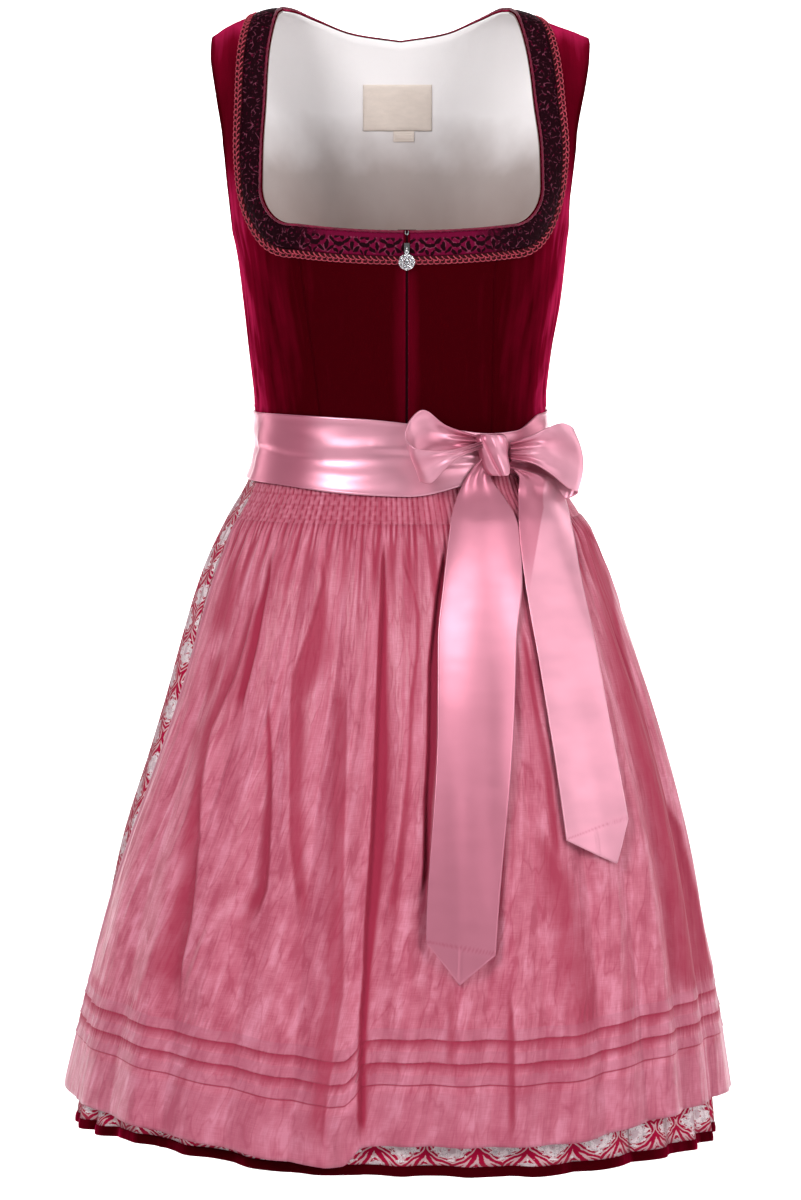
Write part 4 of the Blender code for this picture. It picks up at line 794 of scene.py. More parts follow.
def velvet_finish(colours):
    """Pile velvet: near black where it faces the eye, with a painted raspberry sheen where it turns away."""
    finish = Finish("velvet", roughness=0.9, sheen_weight=0.05, sheen_roughness=0.4, specular_ior_level=0.0)
    finish.shader.inputs["Sheen Tint"].default_value = (*colours.velvet_sheen, 1.0)
    streaks = finish.noise(0.01, 0.1, 4.0) - 0.5
    blotches = finish.noise(0.035, 0.06, 3.0) - 0.5
    turning = finish.turning()
    # Painted sheen: the colour runs from deep to light to the sheen colour as the cloth turns away from the
    # eye, streaked and blotched, plus the painted sheen marked on the panels
    sheen_amount = turning * (streaks * 1.7 + blotches * 1.6 + 0.74) + streaks * 0.15 + finish.marked("painted_sheen")
    deep, light = colours.velvet_deep, colours.velvet_light
    finish.colour(finish.shades(sheen_amount, (0.1, deep), (0.5, light), (0.9, colours.velvet_sheen)))
    finish.relief(finish.noise(0.0007, 0.0009), 0.0003, 0.5)
    return finish.material


def satin_finish(colours):
    """Satin ribbon: deep where the light misses it, nearly white where it catches it."""
    finish = Finish("satin", metallic=0.5, roughness=0.33, sheen_weight=0.03, specular_ior_level=0.4)
    base = colours.satin
    deep, shade = darker(base, 0.85), darker(base, 0.62)
    v = finish.cloth()[1]
    colour = finish.shades(finish.noise(0.06, 0.03), (0.3, deep), (0.62, base))
    # Painted shade: where the pieces mark it, the satin turns deeper and redder, in folds and where the light
    # misses it
    satin_shade_colour = (shade[0] * 1.05, shade[1] * 0.62, shade[2] * 0.74)
    finish.colour(finish.over(finish.marked("painted_shade"), colour, satin_shade_colour))
    finish.relief(v.wave(0.00045) * 0.3 + finish.noise(0.014, 0.001), 0.00003, 0.3)
    finish.roughness(finish.noise(0.03, 0.01).step(0.2, 0.9) * 0.08 + 0.3)
    return finish.material


def taffeta_finish(colours):
    """Thin taffeta: painted shade deep in its folds, greyer where doubled, with blotches of painted sheen and
    shade and of the print below it.
    """
    finish = Finish("apron_taffeta", roughness=0.42, specular_ior_level=0.3, sheen_weight=0.05)
    base, deep, doubled = colours.apron, colours.apron_fold_shade, colours.apron_doubled
    v = finish.cloth()[1]
    long = finish.noise(0.012, 0.14) - 0.5
    patches = finish.noise(0.03, 0.06, 3.0) - 0.5
    ghost = (finish.noise(0.02, 0.022, 4.0) - 0.5) * v.step(-0.55, -0.8)
    threads = finish.noise(0.016, 0.0007, 1.0) + finish.noise(0.0009, 0.01, 1.0) - 1.0
    lighter = finish.noise(0.005, 0.07).step(0.58, 0.72) * 0.7
    fine = finish.noise(0.004, 0.05).step(0.56, 0.72) - lighter
    crease = (finish.noise(0.022, 0.075) - 0.5).do("ABSOLUTE")
    small = (finish.noise(0.009, 0.028, 1.0) - 0.5).do("ABSOLUTE")
    # Painted sheen and painted shade: long streaks and blotches move the colour between the crumpled shade
    # and the shining taffeta, and it is darker along creases; the print below and the weave add their own
    # tone
    tone = long * 0.75 + patches * 0.75 + ghost * 0.85 + threads * 0.3 - fine * 0.16
    tone = tone - (-crease).step(-0.03, 0.0) * 0.16 + 0.5
    shade, light = colours.apron_shade, colours.apron_light
    colour = finish.shades(tone, (0.24, shade), (0.5, base), (0.8, light))
    colour = finish.over(finish.marked("doubled"), colour, doubled)
    # Painted shade in the folds and recesses, where the pieces mark it
    finish.colour(finish.over(finish.marked("painted_shade"), colour, deep))
    crumple = finish.noise(0.013, 0.03) * 7.0 + finish.noise(0.005, 0.014, 1.0) * 2.0
    weave = finish.noise(0.01, 0.0007) + finish.noise(0.0007, 0.012) * 0.5
    finish.relief(crumple * 0.7 - crease * 26 - small * 6 + weave, 0.00015, 0.7)
    dull = finish.noise(0.012, 0.06).step(0.2, 0.8) * 0.15
    finish.roughness(dull + finish.marked("painted_shade") * 0.4 + 0.34)
    return finish.material


def print_finish(colours):
    """A pale figured ground with a red leafy trellis and a grey pink flower in each of its eyes."""
    finish = Finish("skirt_print", roughness=0.85, sheen_weight=0.02, specular_ior_level=0.05)
    wide, tall = 0.05, 0.052
    u, v = finish.cloth()
    u = u + (finish.noise(0.025, 0.03) - 0.5) * 0.01
    v = v + (finish.noise(0.033, 0.021) - 0.5) * 0.012
    across = u.fold(wide) * (2 / wide)
    turn = v.wave(tall)
    slope = (v * (2 * pi / tall)).do("SINE").do("ABSOLUTE")
    line = turn * 0.5 + 0.5
    gap = (across - line).do("ABSOLUTE") * (wide / 2)
    gap = gap.do("DIVIDE", slope * 0.9 + 1.0)
    ragged = (finish.noise(0.0028, 0.0028) - 0.5) * 0.009
    lobes = v.wave(tall / 11) * 0.002 + ragged + 0.0068 + finish.turning() * 0.002
    red = (lobes - gap).step(0.0, 0.0005)
    for side, low in ((0.0052, 0.019), (0.0198, 0.007)):
        curl = (u.fold(wide) - side).hypot(v.fold(tall) - low)
        ring = (-((curl - 0.0028).do("ABSOLUTE")) + 0.0011).step(0.0, 0.0004)
        red = red.do("MAXIMUM", ring).do("MAXIMUM", (-curl + 0.001).step(0.0, 0.0004))
    bits = finish.noise(0.0042, 0.0042).step(0.6, 0.63) * 0.85
    red = red.do("MAXIMUM", bits)
    scroll = ((gap * 1500 + v * 420).do("SINE") + finish.noise(0.002, 0.002, 1.0) * 1.4).step(0.95, 1.25)
    eye_one = (across * (wide / 2)).hypot(v.fold(tall))
    eye_two = ((-across + 1.0) * (wide / 2)).hypot((v + tall / 2).fold(tall))
    eye = eye_one.do("MINIMUM", eye_two)
    petals = (eye * 700).do("SINE") * 0.5 + finish.noise(0.0035, 0.0035)
    flower = (-eye + 0.0112).step(0.0, 0.002) * petals.step(0.35, 0.75)
    speck = finish.noise(0.0012, 0.0012)
    dotted = speck + (finish.noise(0.006, 0.006) - 0.5) * 0.7
    pale = colours.print_ground
    ground = finish.shades(dotted, (0.36, darker(pale, 0.58)), (0.52, pale))
    colour = finish.over(flower * 0.85, ground, colours.print_flower)
    reds = finish.over(scroll * 0.55, colours.print_red, colours.print_ground)
    # Painted shade: the print darkens to a deep grey red where the cloth turns away from the eye
    shadow = finish.turning().step(0.25, 0.95)
    colour = finish.over(red, colour, reds)
    finish.colour(finish.over(shadow * 0.75, colour, (0.17, 0.045, 0.06)))
    finish.relief(red * 0.5 + speck, 0.0003, 0.5)
    return finish.material


def lining_finish(colours):
    finish = Finish("lining", roughness=0.75, sheen_weight=0.2)
    u, v = finish.cloth()
    twill = (u + v).wave(0.0011)
    # Painted shade: pale at the top, darker towards the bottom, brown grey deep inside
    low = v.step(-0.2, -0.05)
    pale, lining_shade_colour = colours.lining, colours.lining_shade
    shade = finish.noise(0.03, 0.05, 3.0) * 0.2 + low * 0.8
    middle = tuple(0.8 * a + 0.2 * b for a, b in zip(lining_shade_colour, pale))
    finish.colour(finish.shades(shade, (0.1, lining_shade_colour), (0.37, middle), (0.64, pale)))
    finish.relief(twill, 0.0001, 0.7)
    return finish.material


def label_finish(colours):
    finish = Finish("label", roughness=0.6)
    u, v = finish.cloth()
    weave = u.wave(0.0007) * v.wave(0.0007)
    base = colours.label
    finish.colour(finish.shades(finish.noise(0.01, 0.003), (0.3, darker(base, 0.93)), (0.7, base)))
    finish.relief(weave, 0.00015, 0.6)
    return finish.material


# Leaves of one half of a sprig: along the band, across it, lean in degrees, half length, half width
SPRIG = [
    (0.0, 0.015, 90.0, 0.0036, 0.0016),
    (0.0048, 0.0105, 35.0, 0.0036, 0.0015),
    (0.0044, 0.018, -40.0, 0.0034, 0.0014),
    (0.01, 0.014, 10.0, 0.003, 0.0017),
    (0.009, 0.02, 60.0, 0.0024, 0.0012),
    (0.0098, 0.0068, -50.0, 0.003, 0.0014),
    (0.0022, 0.0052, 70.0, 0.0026, 0.0012),
]
SPRIG_LENGTH = 0.0225


def leaf_band_finish(colours):
    """A figured band: near black leaves with grey pink outlines broken into painted glints, raspberry between
    them in front.
    """
    finish = Finish("leaf_band", roughness=0.6, specular_ior_level=0.02)
    u, v = finish.cloth()
    along = (u + (finish.noise(0.008, 0.008, 1.0) - 0.5) * 0.005).fold(SPRIG_LENGTH)
    across = v + (finish.noise(0.007, 0.007, 1.0) - 0.5) * 0.003
    nearest = None
    for x, y, lean, half_length, half_width in SPRIG:
        dx, dy, turn = along - x, across - y, radians(lean)
        far = (dx * cos(turn) + dy * sin(turn)) * (1 / half_length)
        wide = (dy * cos(turn) - dx * sin(turn)) * (1 / half_width)
        shape = far.hypot(wide)
        nearest = shape if nearest is None else nearest.do("MINIMUM", shape)
    ragged = (finish.noise(0.0016, 0.0016) - 0.5) * 1.2
    leaf = (-nearest + 1.3 + ragged).step(0.0, 0.3)
    outline = (-((nearest - 1.3).do("ABSOLUTE")) + 0.26).step(0.0, 0.15)
    front = finish.marked("front")
    ground = finish.over(front, colours.band_dark, colours.band_wine)
    patches = finish.noise(0.0035, 0.0035).step(0.58, 0.66)
    ground = finish.over(patches * 0.6, ground, colours.band_wine)
    roll = (-v + 0.0075).step(0.0, 0.001) * front
    colour = finish.over(leaf * (-roll + 1.0), ground, colours.band_leaf)
    # The outline shows in broken glints: partly its own grey pink thread, partly painted glint
    glints = finish.noise(0.0045, 0.0045, 1.0).step(0.5, 0.66) * (-roll + 1.0)
    finish.colour(finish.over(outline * glints * 0.6, colour, colours.band_outline))
    finish.relief(leaf * 0.6 + finish.noise(0.0012, 0.0012) * 0.5, 0.0004, 0.6)
    return finish.material


def binding_finish(colours):
    finish = Finish("satin_binding", roughness=0.35, specular_ior_level=0.25)
    base = colours.binding
    u, v = finish.cloth()
    finish.colour(finish.shades(finish.noise(0.008, 0.002), (0.3, darker(base, 0.35)), (0.7, base)))
    finish.relief((u + v * 0.8).wave(0.0009) * 0.4 + finish.noise(0.003, 0.0012), 0.0002, 0.6)
    return finish.material


def gimp_finish(name, base):
    finish = Finish(name, roughness=0.6, specular_ior_level=0.04)
    patches = finish.noise(0.0022, 0.0022, 2.0, "Object")
    finish.colour(finish.shades(patches, (0.35, darker(base, 0.5)), (0.62, base)))
    finish.relief(finish.noise(0.0004, 0.0004, 2.0, "Object"), 0.0002, 0.8)
    return finish.material


def metal_finish(name, colour, roughness):
    finish = Finish(name, base_color=colour, metallic=1.0, roughness=roughness)
    finish.relief(finish.noise(0.0008, 0.0008, 2.0, "Object"), 0.00002, 0.3)
    return finish.material


# ---- bodice

VELVET_THICK = 0.0012
LINING_OUT = -0.0017
LINING_IN = -0.0027

# Creases of the velvet and the lining: line of (degrees, down), height, width
BODICE_CREASES = [
    (((-88, 0.352), (-72, 0.358), (-58, 0.37)), 0.0016, 0.0045),
    (((-84, 0.372), (-66, 0.376), (-52, 0.381)), -0.0012, 0.0035),
    (((-80, 0.318), (-68, 0.33), (-60, 0.345)), 0.001, 0.005),
    (((88, 0.35), (74, 0.357), (60, 0.366)), 0.0016, 0.0045),
    (((84, 0.371), (68, 0.375), (56, 0.38)), -0.0012, 0.0035),
    (((82, 0.312), (70, 0.322), (61, 0.338)), 0.001, 0.005),
    (((-6, 0.225), (-7, 0.3), (-6, 0.375)), 0.0009, 0.004),
    (((13, 0.225), (14, 0.29), (13, 0.375)), 0.0009, 0.004),
    (((-16, 0.215), (-18, 0.27), (-17, 0.33)), 0.0007, 0.006),
    (((24, 0.215), (26, 0.27), (24, 0.33)), 0.0007, 0.006),
    (((-52, 0.215), (-44, 0.245), (-40, 0.29)), 0.0011, 0.008),
    (((52, 0.215), (46, 0.245), (42, 0.29)), 0.0011, 0.008),
    (((100, 0.352), (118, 0.36), (134, 0.372)), 0.0016, 0.005),
    (((-100, 0.35), (-120, 0.358), (-138, 0.37)), 0.0016, 0.005),
    (((110, 0.368), (128, 0.375), (150, 0.38)), -0.0012, 0.004),
    (((-112, 0.368), (-130, 0.374), (-152, 0.38)), -0.0012, 0.004),
    (((104, 0.235), (116, 0.262), (124, 0.3)), 0.0012, 0.008),
    (((-104, 0.235), (-116, 0.262), (-124, 0.3)), 0.0012, 0.008),
]


def row_gaps(points):
    """Distance of every place of a grid from the first and from the last place of its row."""
    return (np.linalg.norm(points - points[:, [i]], axis=-1) for i in (0, -1))


def panel_relief(angle, down, first, last):
    """Seams sink in, turned edges stand up, and the cloth creases."""
    start, end = row_gaps(body_point(angle, down))
    relief = ridges(angle, down, BODICE_CREASES)
    seamed = (np.arange(len(angle)) <= BODY_ROWS)[:, None]
    for gap, kind in ((start, first), (end, last)):
        seam = -0.0005 * hump(gap, 0.0012) + 0.0002 * hump(gap - 0.004, 0.0025)
        edge = 0.0004 * hump(gap - 0.002, 0.0018)
        relief = relief + np.where(seamed, seam if "seam" in kind else edge, edge if "edge" in kind else 0)
    return relief


def panel_grids(angle, down, relief, outside, inside):
    """Two faces over the form; at the shoulder both stand straight over the seam."""
    grids = on_bodice(angle, down, outside + relief), on_bodice(angle, down, inside + relief)
    top = ease(down, 0.0, 0.0012)
    edge = body_point(angle, down)[..., 1]
    for grid in grids:
        grid[..., 1] = edge * (1 - top) + grid[..., 1] * top
    return grids


def build_bodice(colours):
    """Five velvet panels, with painted sheen beside the slit, at the shoulders and the sides, and less of it
    along the seams.
    """
    velvet = velvet_finish(colours)
    pieces = []
    for sign, side in ((-1, "left"), (1, "right")):
        pieces.append((f"bodice_front_{side}", front_patch(sign), "edge", "seam"))
        pieces.append((f"bodice_side_{side}", side_patch(sign), "seam", "seam edge"))
    pieces.append(("bodice_back", back_patch(), "seam edge", "seam edge"))
    for name, (angle, down), first, last in pieces:
        relief = panel_relief(angle, down, first, last)
        outer, inner = panel_grids(angle, down, relief, 0.0003, 0.0003 - VELVET_THICK)
        patches = [(outer, inner, cloth_uv(outer))]
        piece = lay_cloth(name, patches, velvet)
        # Painted sheen: brighter beside the slit in front, at the shoulders and at the sides, darker along
        # the seams
        from_slit = np.abs(outer[..., 0] - ZIP_X)
        painted_sheen = 0.22 * hump(from_slit - 0.004, 0.008) * (outer[..., 1] < 0)
        sheen_at_shoulders_and_sides = 0.36 * hump(down, 0.05) + 0.16 * ease(np.abs(outer[..., 0]), 0.1, 0.145)
        painted_sheen = painted_sheen + sheen_at_shoulders_and_sides * ease(-outer[..., 1], -0.03, 0.0)
        for gap, kind in zip(row_gaps(outer), (first, last)):
            if "seam" in kind:
                painted_sheen = painted_sheen - 0.8 * hump(gap, 0.0022)
        mark_wall(piece, "painted_sheen", painted_sheen)


def build_linings(colours):
    """The lining in three pieces, with the velvet's creases."""
    cloth = lining_finish(colours)
    left, right = ([front_patch(sign), side_patch(sign)] for sign in (-1, 1))
    for side, places in (("left", left), ("right", right), ("back", [back_patch()])):
        patches = []
        for angle, down in places:
            relief = ridges(angle, down, BODICE_CREASES)
            outer, inner = panel_grids(angle, down, relief, LINING_OUT, LINING_IN)
            uv = uv_grid(angle * BODICE_ROUND, -down) if side == "back" else cloth_uv(outer)
            patches.append((outer, inner, uv))
        lay_cloth(f"lining_{side}", patches, cloth)


def build_label(colours):
    """The blank label and its tab on the back lining."""
    patches = []
    for left, right, top, bottom in ((-0.034, 0.0285, 0.08, 0.1115), (-0.0065, 0.0125, 0.1117, 0.1195)):
        x, down = np.meshgrid(np.linspace(left, right, 44), np.linspace(top, bottom, 28))
        angle = pi - angle_at(x, down)
        rim = np.minimum(np.minimum(x - left, right - x), np.minimum(down - top, bottom - down))
        puff = 0.0005 * ease(rim, 0, 0.0022) - 0.0003 * hump(rim - 0.0016, 0.0005)
        puff = puff + 0.0003 * np.sin(x * 210) * np.sin(down * 260)
        outer = on_bodice(angle, down, LINING_IN - 0.0009 - puff)
        inner = on_bodice(angle, down, np.full(x.shape, LINING_IN - 0.0002))
        patches.append((outer, inner, uv_grid(x, -down)))
    lay_cloth("label", patches, label_finish(colours))


# ---- trims of the neck

TRIM_STEP = 0.0012
TRIM_ROWS = 18
# The row of the strip along which its length is measured
MEASURED_ROW = 6
BAND_FROM = 0.0022
BAND_TO = 0.0226
GIMP_FROM = 0.023
GIMP_TO = 0.0304


class TrimBed:
    """The strip of bodice beside the neck edge, by the distance along the edge and away from it."""

    def __init__(self):
        path = trim_path(TRIM_STEP)
        self.across = np.linspace(0.0, GIMP_TO + 0.002, TRIM_ROWS)
        places = np.array([beside(path, gap) for gap in self.across])
        self.points = body_point(places[..., 0], places[..., 1])
        self.out = normals(places[..., 0], places[..., 1])
        self.along = run_length(self.points[MEASURED_ROW])
        self.down = places[MEASURED_ROW, :, 1]

    def place(self, along, across, height):
        """Points at these distances along and across, this high over the velvet."""
        along, across, height = np.broadcast_arrays(along, across, height)
        i, t = cell(self.along, along)
        j, s = cell(self.across, across)
        t, s = t[..., None], s[..., None]

        def mix(grid):
            low = grid[j, i] * (1 - t) + grid[j, i + 1] * t
            high = grid[j + 1, i] * (1 - t) + grid[j + 1, i + 1] * t
            return low * (1 - s) + high * s

        return mix(self.points) + mix(self.out) * height[..., None]


def build_neck_trim(colours, sizes):
    """The figured band with its satin binding along the neck edge."""
    bed = TrimBed()
    along = np.linspace(0, bed.along[-1], int(bed.along[-1] / TRIM_STEP))
    across = np.linspace(BAND_FROM, BAND_TO, 15)
    s, c = np.meshgrid(along, across)
    share = (c - BAND_FROM) / (BAND_TO - BAND_FROM)
    crown = 0.0009 * np.sqrt(np.clip(4 * share * (1 - share), 0, 1))
    ruche = 0.00022 * np.sin(2 * pi * s / 0.0043 + 5 * np.sin(s * 61) + 9 * c / BAND_TO)
    outer = bed.place(s, c, 0.0012 + crown + ruche)
    inner = bed.place(s, c, np.full(s.shape, 0.0005))
    patches, rests_on = [(outer, inner, uv_grid(s, c))], ["bodice_back", "bodice_side_left"]
    band = lay_cloth("neck_trim", patches, leaf_band_finish(colours))
    level = np.interp(along, bed.along, bed.down)
    side = np.abs(np.interp(along, bed.along, bed.points[MEASURED_ROW][:, 0]))
    front = ease(level, 0.15, 0.19) * (1 - ease(side, 0.06, 0.095))
    mark_wall(band, "front", np.broadcast_to(front, s.shape))

    turn = np.linspace(0, 2 * pi, 12)
    s, t = np.meshgrid(along, turn)
    radius = sizes.binding / 2 * (1 + 0.1 * np.sin(2 * pi * s / 0.0061 + 2 * np.sin(s * 47)))
    c = 0.0009 + radius * np.cos(t)
    outer = bed.place(s, np.maximum(c, 0), 0.0008 + radius * np.sin(t) * 1.1)
    outer = outer - np.minimum(c, 0)[..., None] * edge_way(bed, s)
    inner = outer * 0.7 + np.mean(outer, axis=0, keepdims=True) * 0.3
    binding = add_cloth("neck_binding", [(outer, inner, uv_grid(s, t * radius))], binding_finish(colours))
    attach(binding, "garment")


def edge_way(bed, along):
    """Unit vectors from the velvet towards the neck opening."""
    way = unit(bed.points[0] - bed.points[2])
    i = np.clip(np.searchsorted(bed.along, along), 0, len(bed.along) - 1)
    return -way[i]


def build_gimp(colours, sizes):
    """Two rows of looped cord on a narrow strip: leaning scrolls above, round loops below."""
    bed = TrimBed()
    pitch = sizes.gimp_pitch
    end = bed.along[-1]
    along = np.linspace(0, end, int(end / TRIM_STEP))
    s, c = np.meshgrid(along, np.linspace(GIMP_FROM, GIMP_TO, 8))
    rise = 0.0011 + 0.0002 * np.sin(2 * pi * s / pitch)
    outer, inner = bed.place(s, c, rise), bed.place(s, c, np.full(s.shape, 0.0005))
    gimp = gimp_finish("gimp_cord", colours.gimp)
    net = gimp_finish("gimp_net", darker(colours.gimp, 0.09))
    strip = add_cloth("gimp_strip", [(outer, inner, uv_grid(s, c))], net)
    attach(strip, "garment")
    turns = int(end / pitch)
    turn = np.linspace(0, 2 * pi * turns, turns * 15)
    forward = turn / (2 * pi) * (end / turns)
    rows = [
        (0.0252, 0.0017, 0.0019, 0.9, 0.0),
        (0.0283, 0.0015, 0.0016, 0.0, pi),
    ]
    cords = []
    for middle, reach, wide, lean, start in rows:
        at = forward + wide * np.sin(turn + start)
        across = middle + reach * np.cos(turn + start + lean)
        height = 0.0017 + 0.00045 * np.sin(turn + start + 0.6)
        line = bed.place(np.clip(at, 0, end), across, height)
        cords.append(add_tube(line, 0.00042, 6))
    braid = gather_parts("gimp_braid", cords, gimp)
    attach(braid, "garment")
    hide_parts("gimp_braid")


# ---- zip, pendant and hook

PIN = (0.005505, -0.133649, -0.208445)
PENDANT_DROP = 0.0118
PENDANT_RADIUS = 0.0068
SEATS = 8
SEATS_RADIUS = 0.0052


def stone(centre, radius, depth, sides=8):
    """A faceted stone that faces -Y: table, crown and a shallow back."""
    turn = np.linspace(0, 2 * pi, sides, endpoint=False)
    points = [np.array(centre) + (0, depth * 0.45, 0)]
    for share, y, shift in ((1.0, 0.0, 0.0), (0.86, -0.45 * depth, 0.5), (0.55, -depth, 0.0)):
        for t in turn + shift * 2 * pi / sides:
            points.append(np.array(centre) + (share * radius * cos(t), y, share * radius * sin(t)))
    faces = [(0, 1 + i, 1 + (i + 1) % sides) for i in range(sides)]
    for row in (0, 1):
        low, high = 1 + row * sides, 1 + (row + 1) * sides
        for i in range(sides):
            j = (i + 1) % sides
            faces += [(low + i, high + i, low + j), (low + j, high + i, high + j)]
    faces.append(tuple(1 + 2 * sides + i for i in range(sides)))
    return points, faces


def circle(centre, radius, count, flat=True):
    """A closed line of points round a centre, in the plane that faces -Y or the one that faces X."""
    turn = np.linspace(0, 2 * pi, count + 1)
    x, z = radius * np.cos(turn), radius * np.sin(turn)
    zero = np.zeros_like(x)
    return np.array(centre) + (np.stack([x, zero, z], 1) if flat else np.stack([zero, x, z], 1))


def build_tape(colours):
    """The tape behind the slit, with the swell of its teeth."""
    down, x = np.meshgrid(np.linspace(WAIST - 0.001, NECK_CENTRE - 0.001, 90), np.linspace(-0.008, 0.008, 17))
    down, x = down.T, x.T + ZIP_X
    angle = angle_at(x, down)
    teeth = 0.0004 * hump(x - ZIP_X, 0.0016) * (1 + np.sin(down * 2 * pi / 0.0016))
    outer = on_bodice(angle, down, -0.0014 + teeth - 0.0004)
    inner = on_bodice(angle, down, np.full(x.shape, -0.0027))
    tape = Finish("zip_tape", roughness=0.8, specular_ior_level=0.05, base_color=colours.zip_tape)
    tape.relief(tape.cloth()[1].wave(0.0008), 0.0002, 0.8)
    patches, rests_on = [(outer, inner, uv_grid(x, -down))], ["bodice_front_left", "bodice_front_right"]
    lay_cloth("zip", patches, tape.material)


def build_pendant(silver):
    """The zip's pull: clear stones in a silver setting, hung from the slider's loop."""
    pin = np.array(PIN)
    centre = pin + (0, -0.0004, -PENDANT_DROP)
    metal = [add_tube(circle(pin, 0.00135, 20, False), 0.00038, 8)]
    metal.append(add_tube(np.linspace(pin + (0, 0, -0.0013), centre + (0, 0, 0.0066), 6), 0.0006, 8))
    metal.append(add_tube(circle(centre, 0.0032, 28), 0.0004, 6))
    metal.append(add_tube(circle(centre, PENDANT_RADIUS, 40), 0.0003, 6))
    metal.append(add_tube(circle(centre + (0, 0.0004, 0), SEATS_RADIUS, 32), 0.0005, 6))
    stones = [stone(centre + (0, -0.0006, 0), 0.0025, 0.0014)]
    for i in range(SEATS):
        t = 2 * pi * i / SEATS + pi / SEATS
        seat = centre + (SEATS_RADIUS * cos(t), 0, SEATS_RADIUS * sin(t))
        stones.append(stone(seat + (0, -0.0004, 0), 0.0016, 0.0011))
        metal.append(add_tube(circle(seat, 0.00165, 14), 0.00028, 6))
        t += pi / SEATS
        bead = centre + (0.0066 * cos(t), -0.0002, 0.0066 * sin(t))
        metal.append(add_tube(circle(bead, 0.0004, 8), 0.0003, 6))
    bead = pin + (0, -0.0012, -0.0031)
    stones.append(stone(bead, 0.0015, 0.0012))
    metal.append(add_tube(circle(bead, 0.0016, 14), 0.0003, 6))
    pull = gather_parts("zip_pull", metal, silver)
    pale = (0.6, 0.6, 0.64)
    clear = Finish("clear_stone", base_color=pale, metallic=0.9, roughness=0.03, coat_weight=1.0)
    clear.relief(clear.noise(0.0006, 0.0006, 1.0, "Object"), 0.00002, 0.2)
    gems = gather_parts("pull_stones", stones, clear.material, smooth=False)
    for piece in (pull, gems):
        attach(piece, "zip_pull")
    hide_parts("zip_pull")


def build_zip(colours):
    """The tape, the slider and the hook in their finish, and the pendant."""
    build_tape(colours)
    silver = metal_finish("silver", colours.silver, 0.22)
    # Painted shade: the slider and the hook get silver darkened to a quarter
    shaded_silver = metal_finish("shaded_silver", darker(colours.silver, 0.25), 0.35)
    for name in ("zip_slider", "neck_hook"):
        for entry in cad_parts[name].material_slots:
            entry.link = "OBJECT"
            entry.material = shaded_silver
    build_pendant(silver)


# ---- skirt

SKIRT_FULL_WIDTH = 1.95
SKIRT_CLOTH = 0.0008
SKIRT_ROWS = 72
PANEL_COLUMNS = 112
HEM_BAND = 0.009
HEM_ROWS = 9


def skirt_reach(angle, down, pleats):
    """How far the pleated skirt stands over the form."""
    phase = angle * pleats
    number = np.round(phase / (2 * pi)) % pleats
    uneven = 1 - 0.22 * (0.5 + 0.5 * np.sin(2.4 * number))
    wave = np.cos(phase + 0.45 * np.sin(phase + number))
    in_front = 1 - ease(np.abs(turned(angle)), 55, 80)
    low = pleat_depth(down) * (1 - 0.5 * in_front * ease(down, 0.8, 1.0))
    gathers = 0.35 * np.cos(3 * phase + 1.3 * np.sin(number * 1.7)) * (1 - ease(down, 0.45, 0.66))
    drape = 0.1 * np.sin(5 * down * 9 + number * 2.1) * ease(down, 0.5, 0.8)
    return low * np.clip(wave * uneven * (1 - 0.3 * (1 - ease(down, 0.42, 0.6))) + gathers + drape, -1.1, 1.0)


def build_skirt(colours, sizes):
    """Four pleated panels of print and the velvet band round their hem."""
    printed = print_finish(colours)
    downs = WAIST + (HEM - HEM_BAND - WAIST) * np.linspace(0, 1, SKIRT_ROWS)
    for quarter, name in enumerate(("skirt_front", "skirt_right", "skirt_back", "skirt_left")):
        start = (quarter - 0.5) * pi / 2
        angle, down = np.meshgrid(np.linspace(start, start + pi / 2, PANEL_COLUMNS + 1), downs)
        reach = skirt_reach(angle, down, sizes.skirt_pleats)
        outer, inner = on_skirt(angle, down, reach), on_skirt(angle, down, reach - SKIRT_CLOTH)
        uv = uv_grid(angle / (2 * pi) * SKIRT_FULL_WIDTH, -down)
        lay_cloth(name, [(outer, inner, uv)], printed)
    columns = 4 * PANEL_COLUMNS + 1
    low = np.linspace(HEM - HEM_BAND, HEM, HEM_ROWS)
    angle, down = np.meshgrid(np.linspace(-pi, pi, columns)[:-1], low)
    roll = 0.0006 * np.sin(pi * np.clip((down - HEM + HEM_BAND) / HEM_BAND, 0.0, 1)) + 0.0004
    reach = skirt_reach(angle, down, sizes.skirt_pleats)
    outer = on_skirt(angle, down, reach + roll)
    inner = on_skirt(angle, down, reach - SKIRT_CLOTH - roll)
    uv = uv_grid(np.linspace(0, SKIRT_FULL_WIDTH, columns), np.linspace(0, HEM_BAND, HEM_ROWS)[:, None])
    patches, velvet = [(outer, inner, uv)], velvet_finish(colours)
    lay_cloth("skirt_hem_band", patches, velvet, wrap=True)


# ---- apron

TUCKS = [0.093, 0.073, 0.054]
TUCK_DEPTH = 0.009
ABOVE_TUCKS = 0.108
SIDE_HEM = 0.0095
APRON_FULL_WIDTH = 0.95
APRON_COLUMNS = 640
APRON_UNDER = 0.0006

FOLDS_FROM = 0.455
FOLDS_FULL = 0.72
# Long folds: degrees above and at the hem, height, width to the left and right in degrees
APRON_FOLDS = [
    (-54.0, -66.0, 0.006, 5.0, 7.0), (-43.0, -49.0, 0.01, 6.0, 4.0), (-32.0, -35.0, 0.009, 6.0, 5.0),
    (-20.0, -23.0, 0.012, 7.0, 5.0), (-10.5, -13.0, 0.019, 6.0, 2.6), (0.0, 1.0, 0.009, 3.5, 4.0),
    (10.5, 11.0, 0.011, 4.5, 4.0), (21.0, 21.5, 0.008, 4.5, 5.0), (31.0, 32.0, 0.011, 4.5, 4.5),
    (41.0, 42.0, 0.008, 4.0, 5.0), (51.0, 52.5, 0.011, 5.0, 4.0), (62.0, 63.0, 0.009, 5.0, 4.5),
    (74.0, 73.0, 0.008, 5.0, 5.0),
]

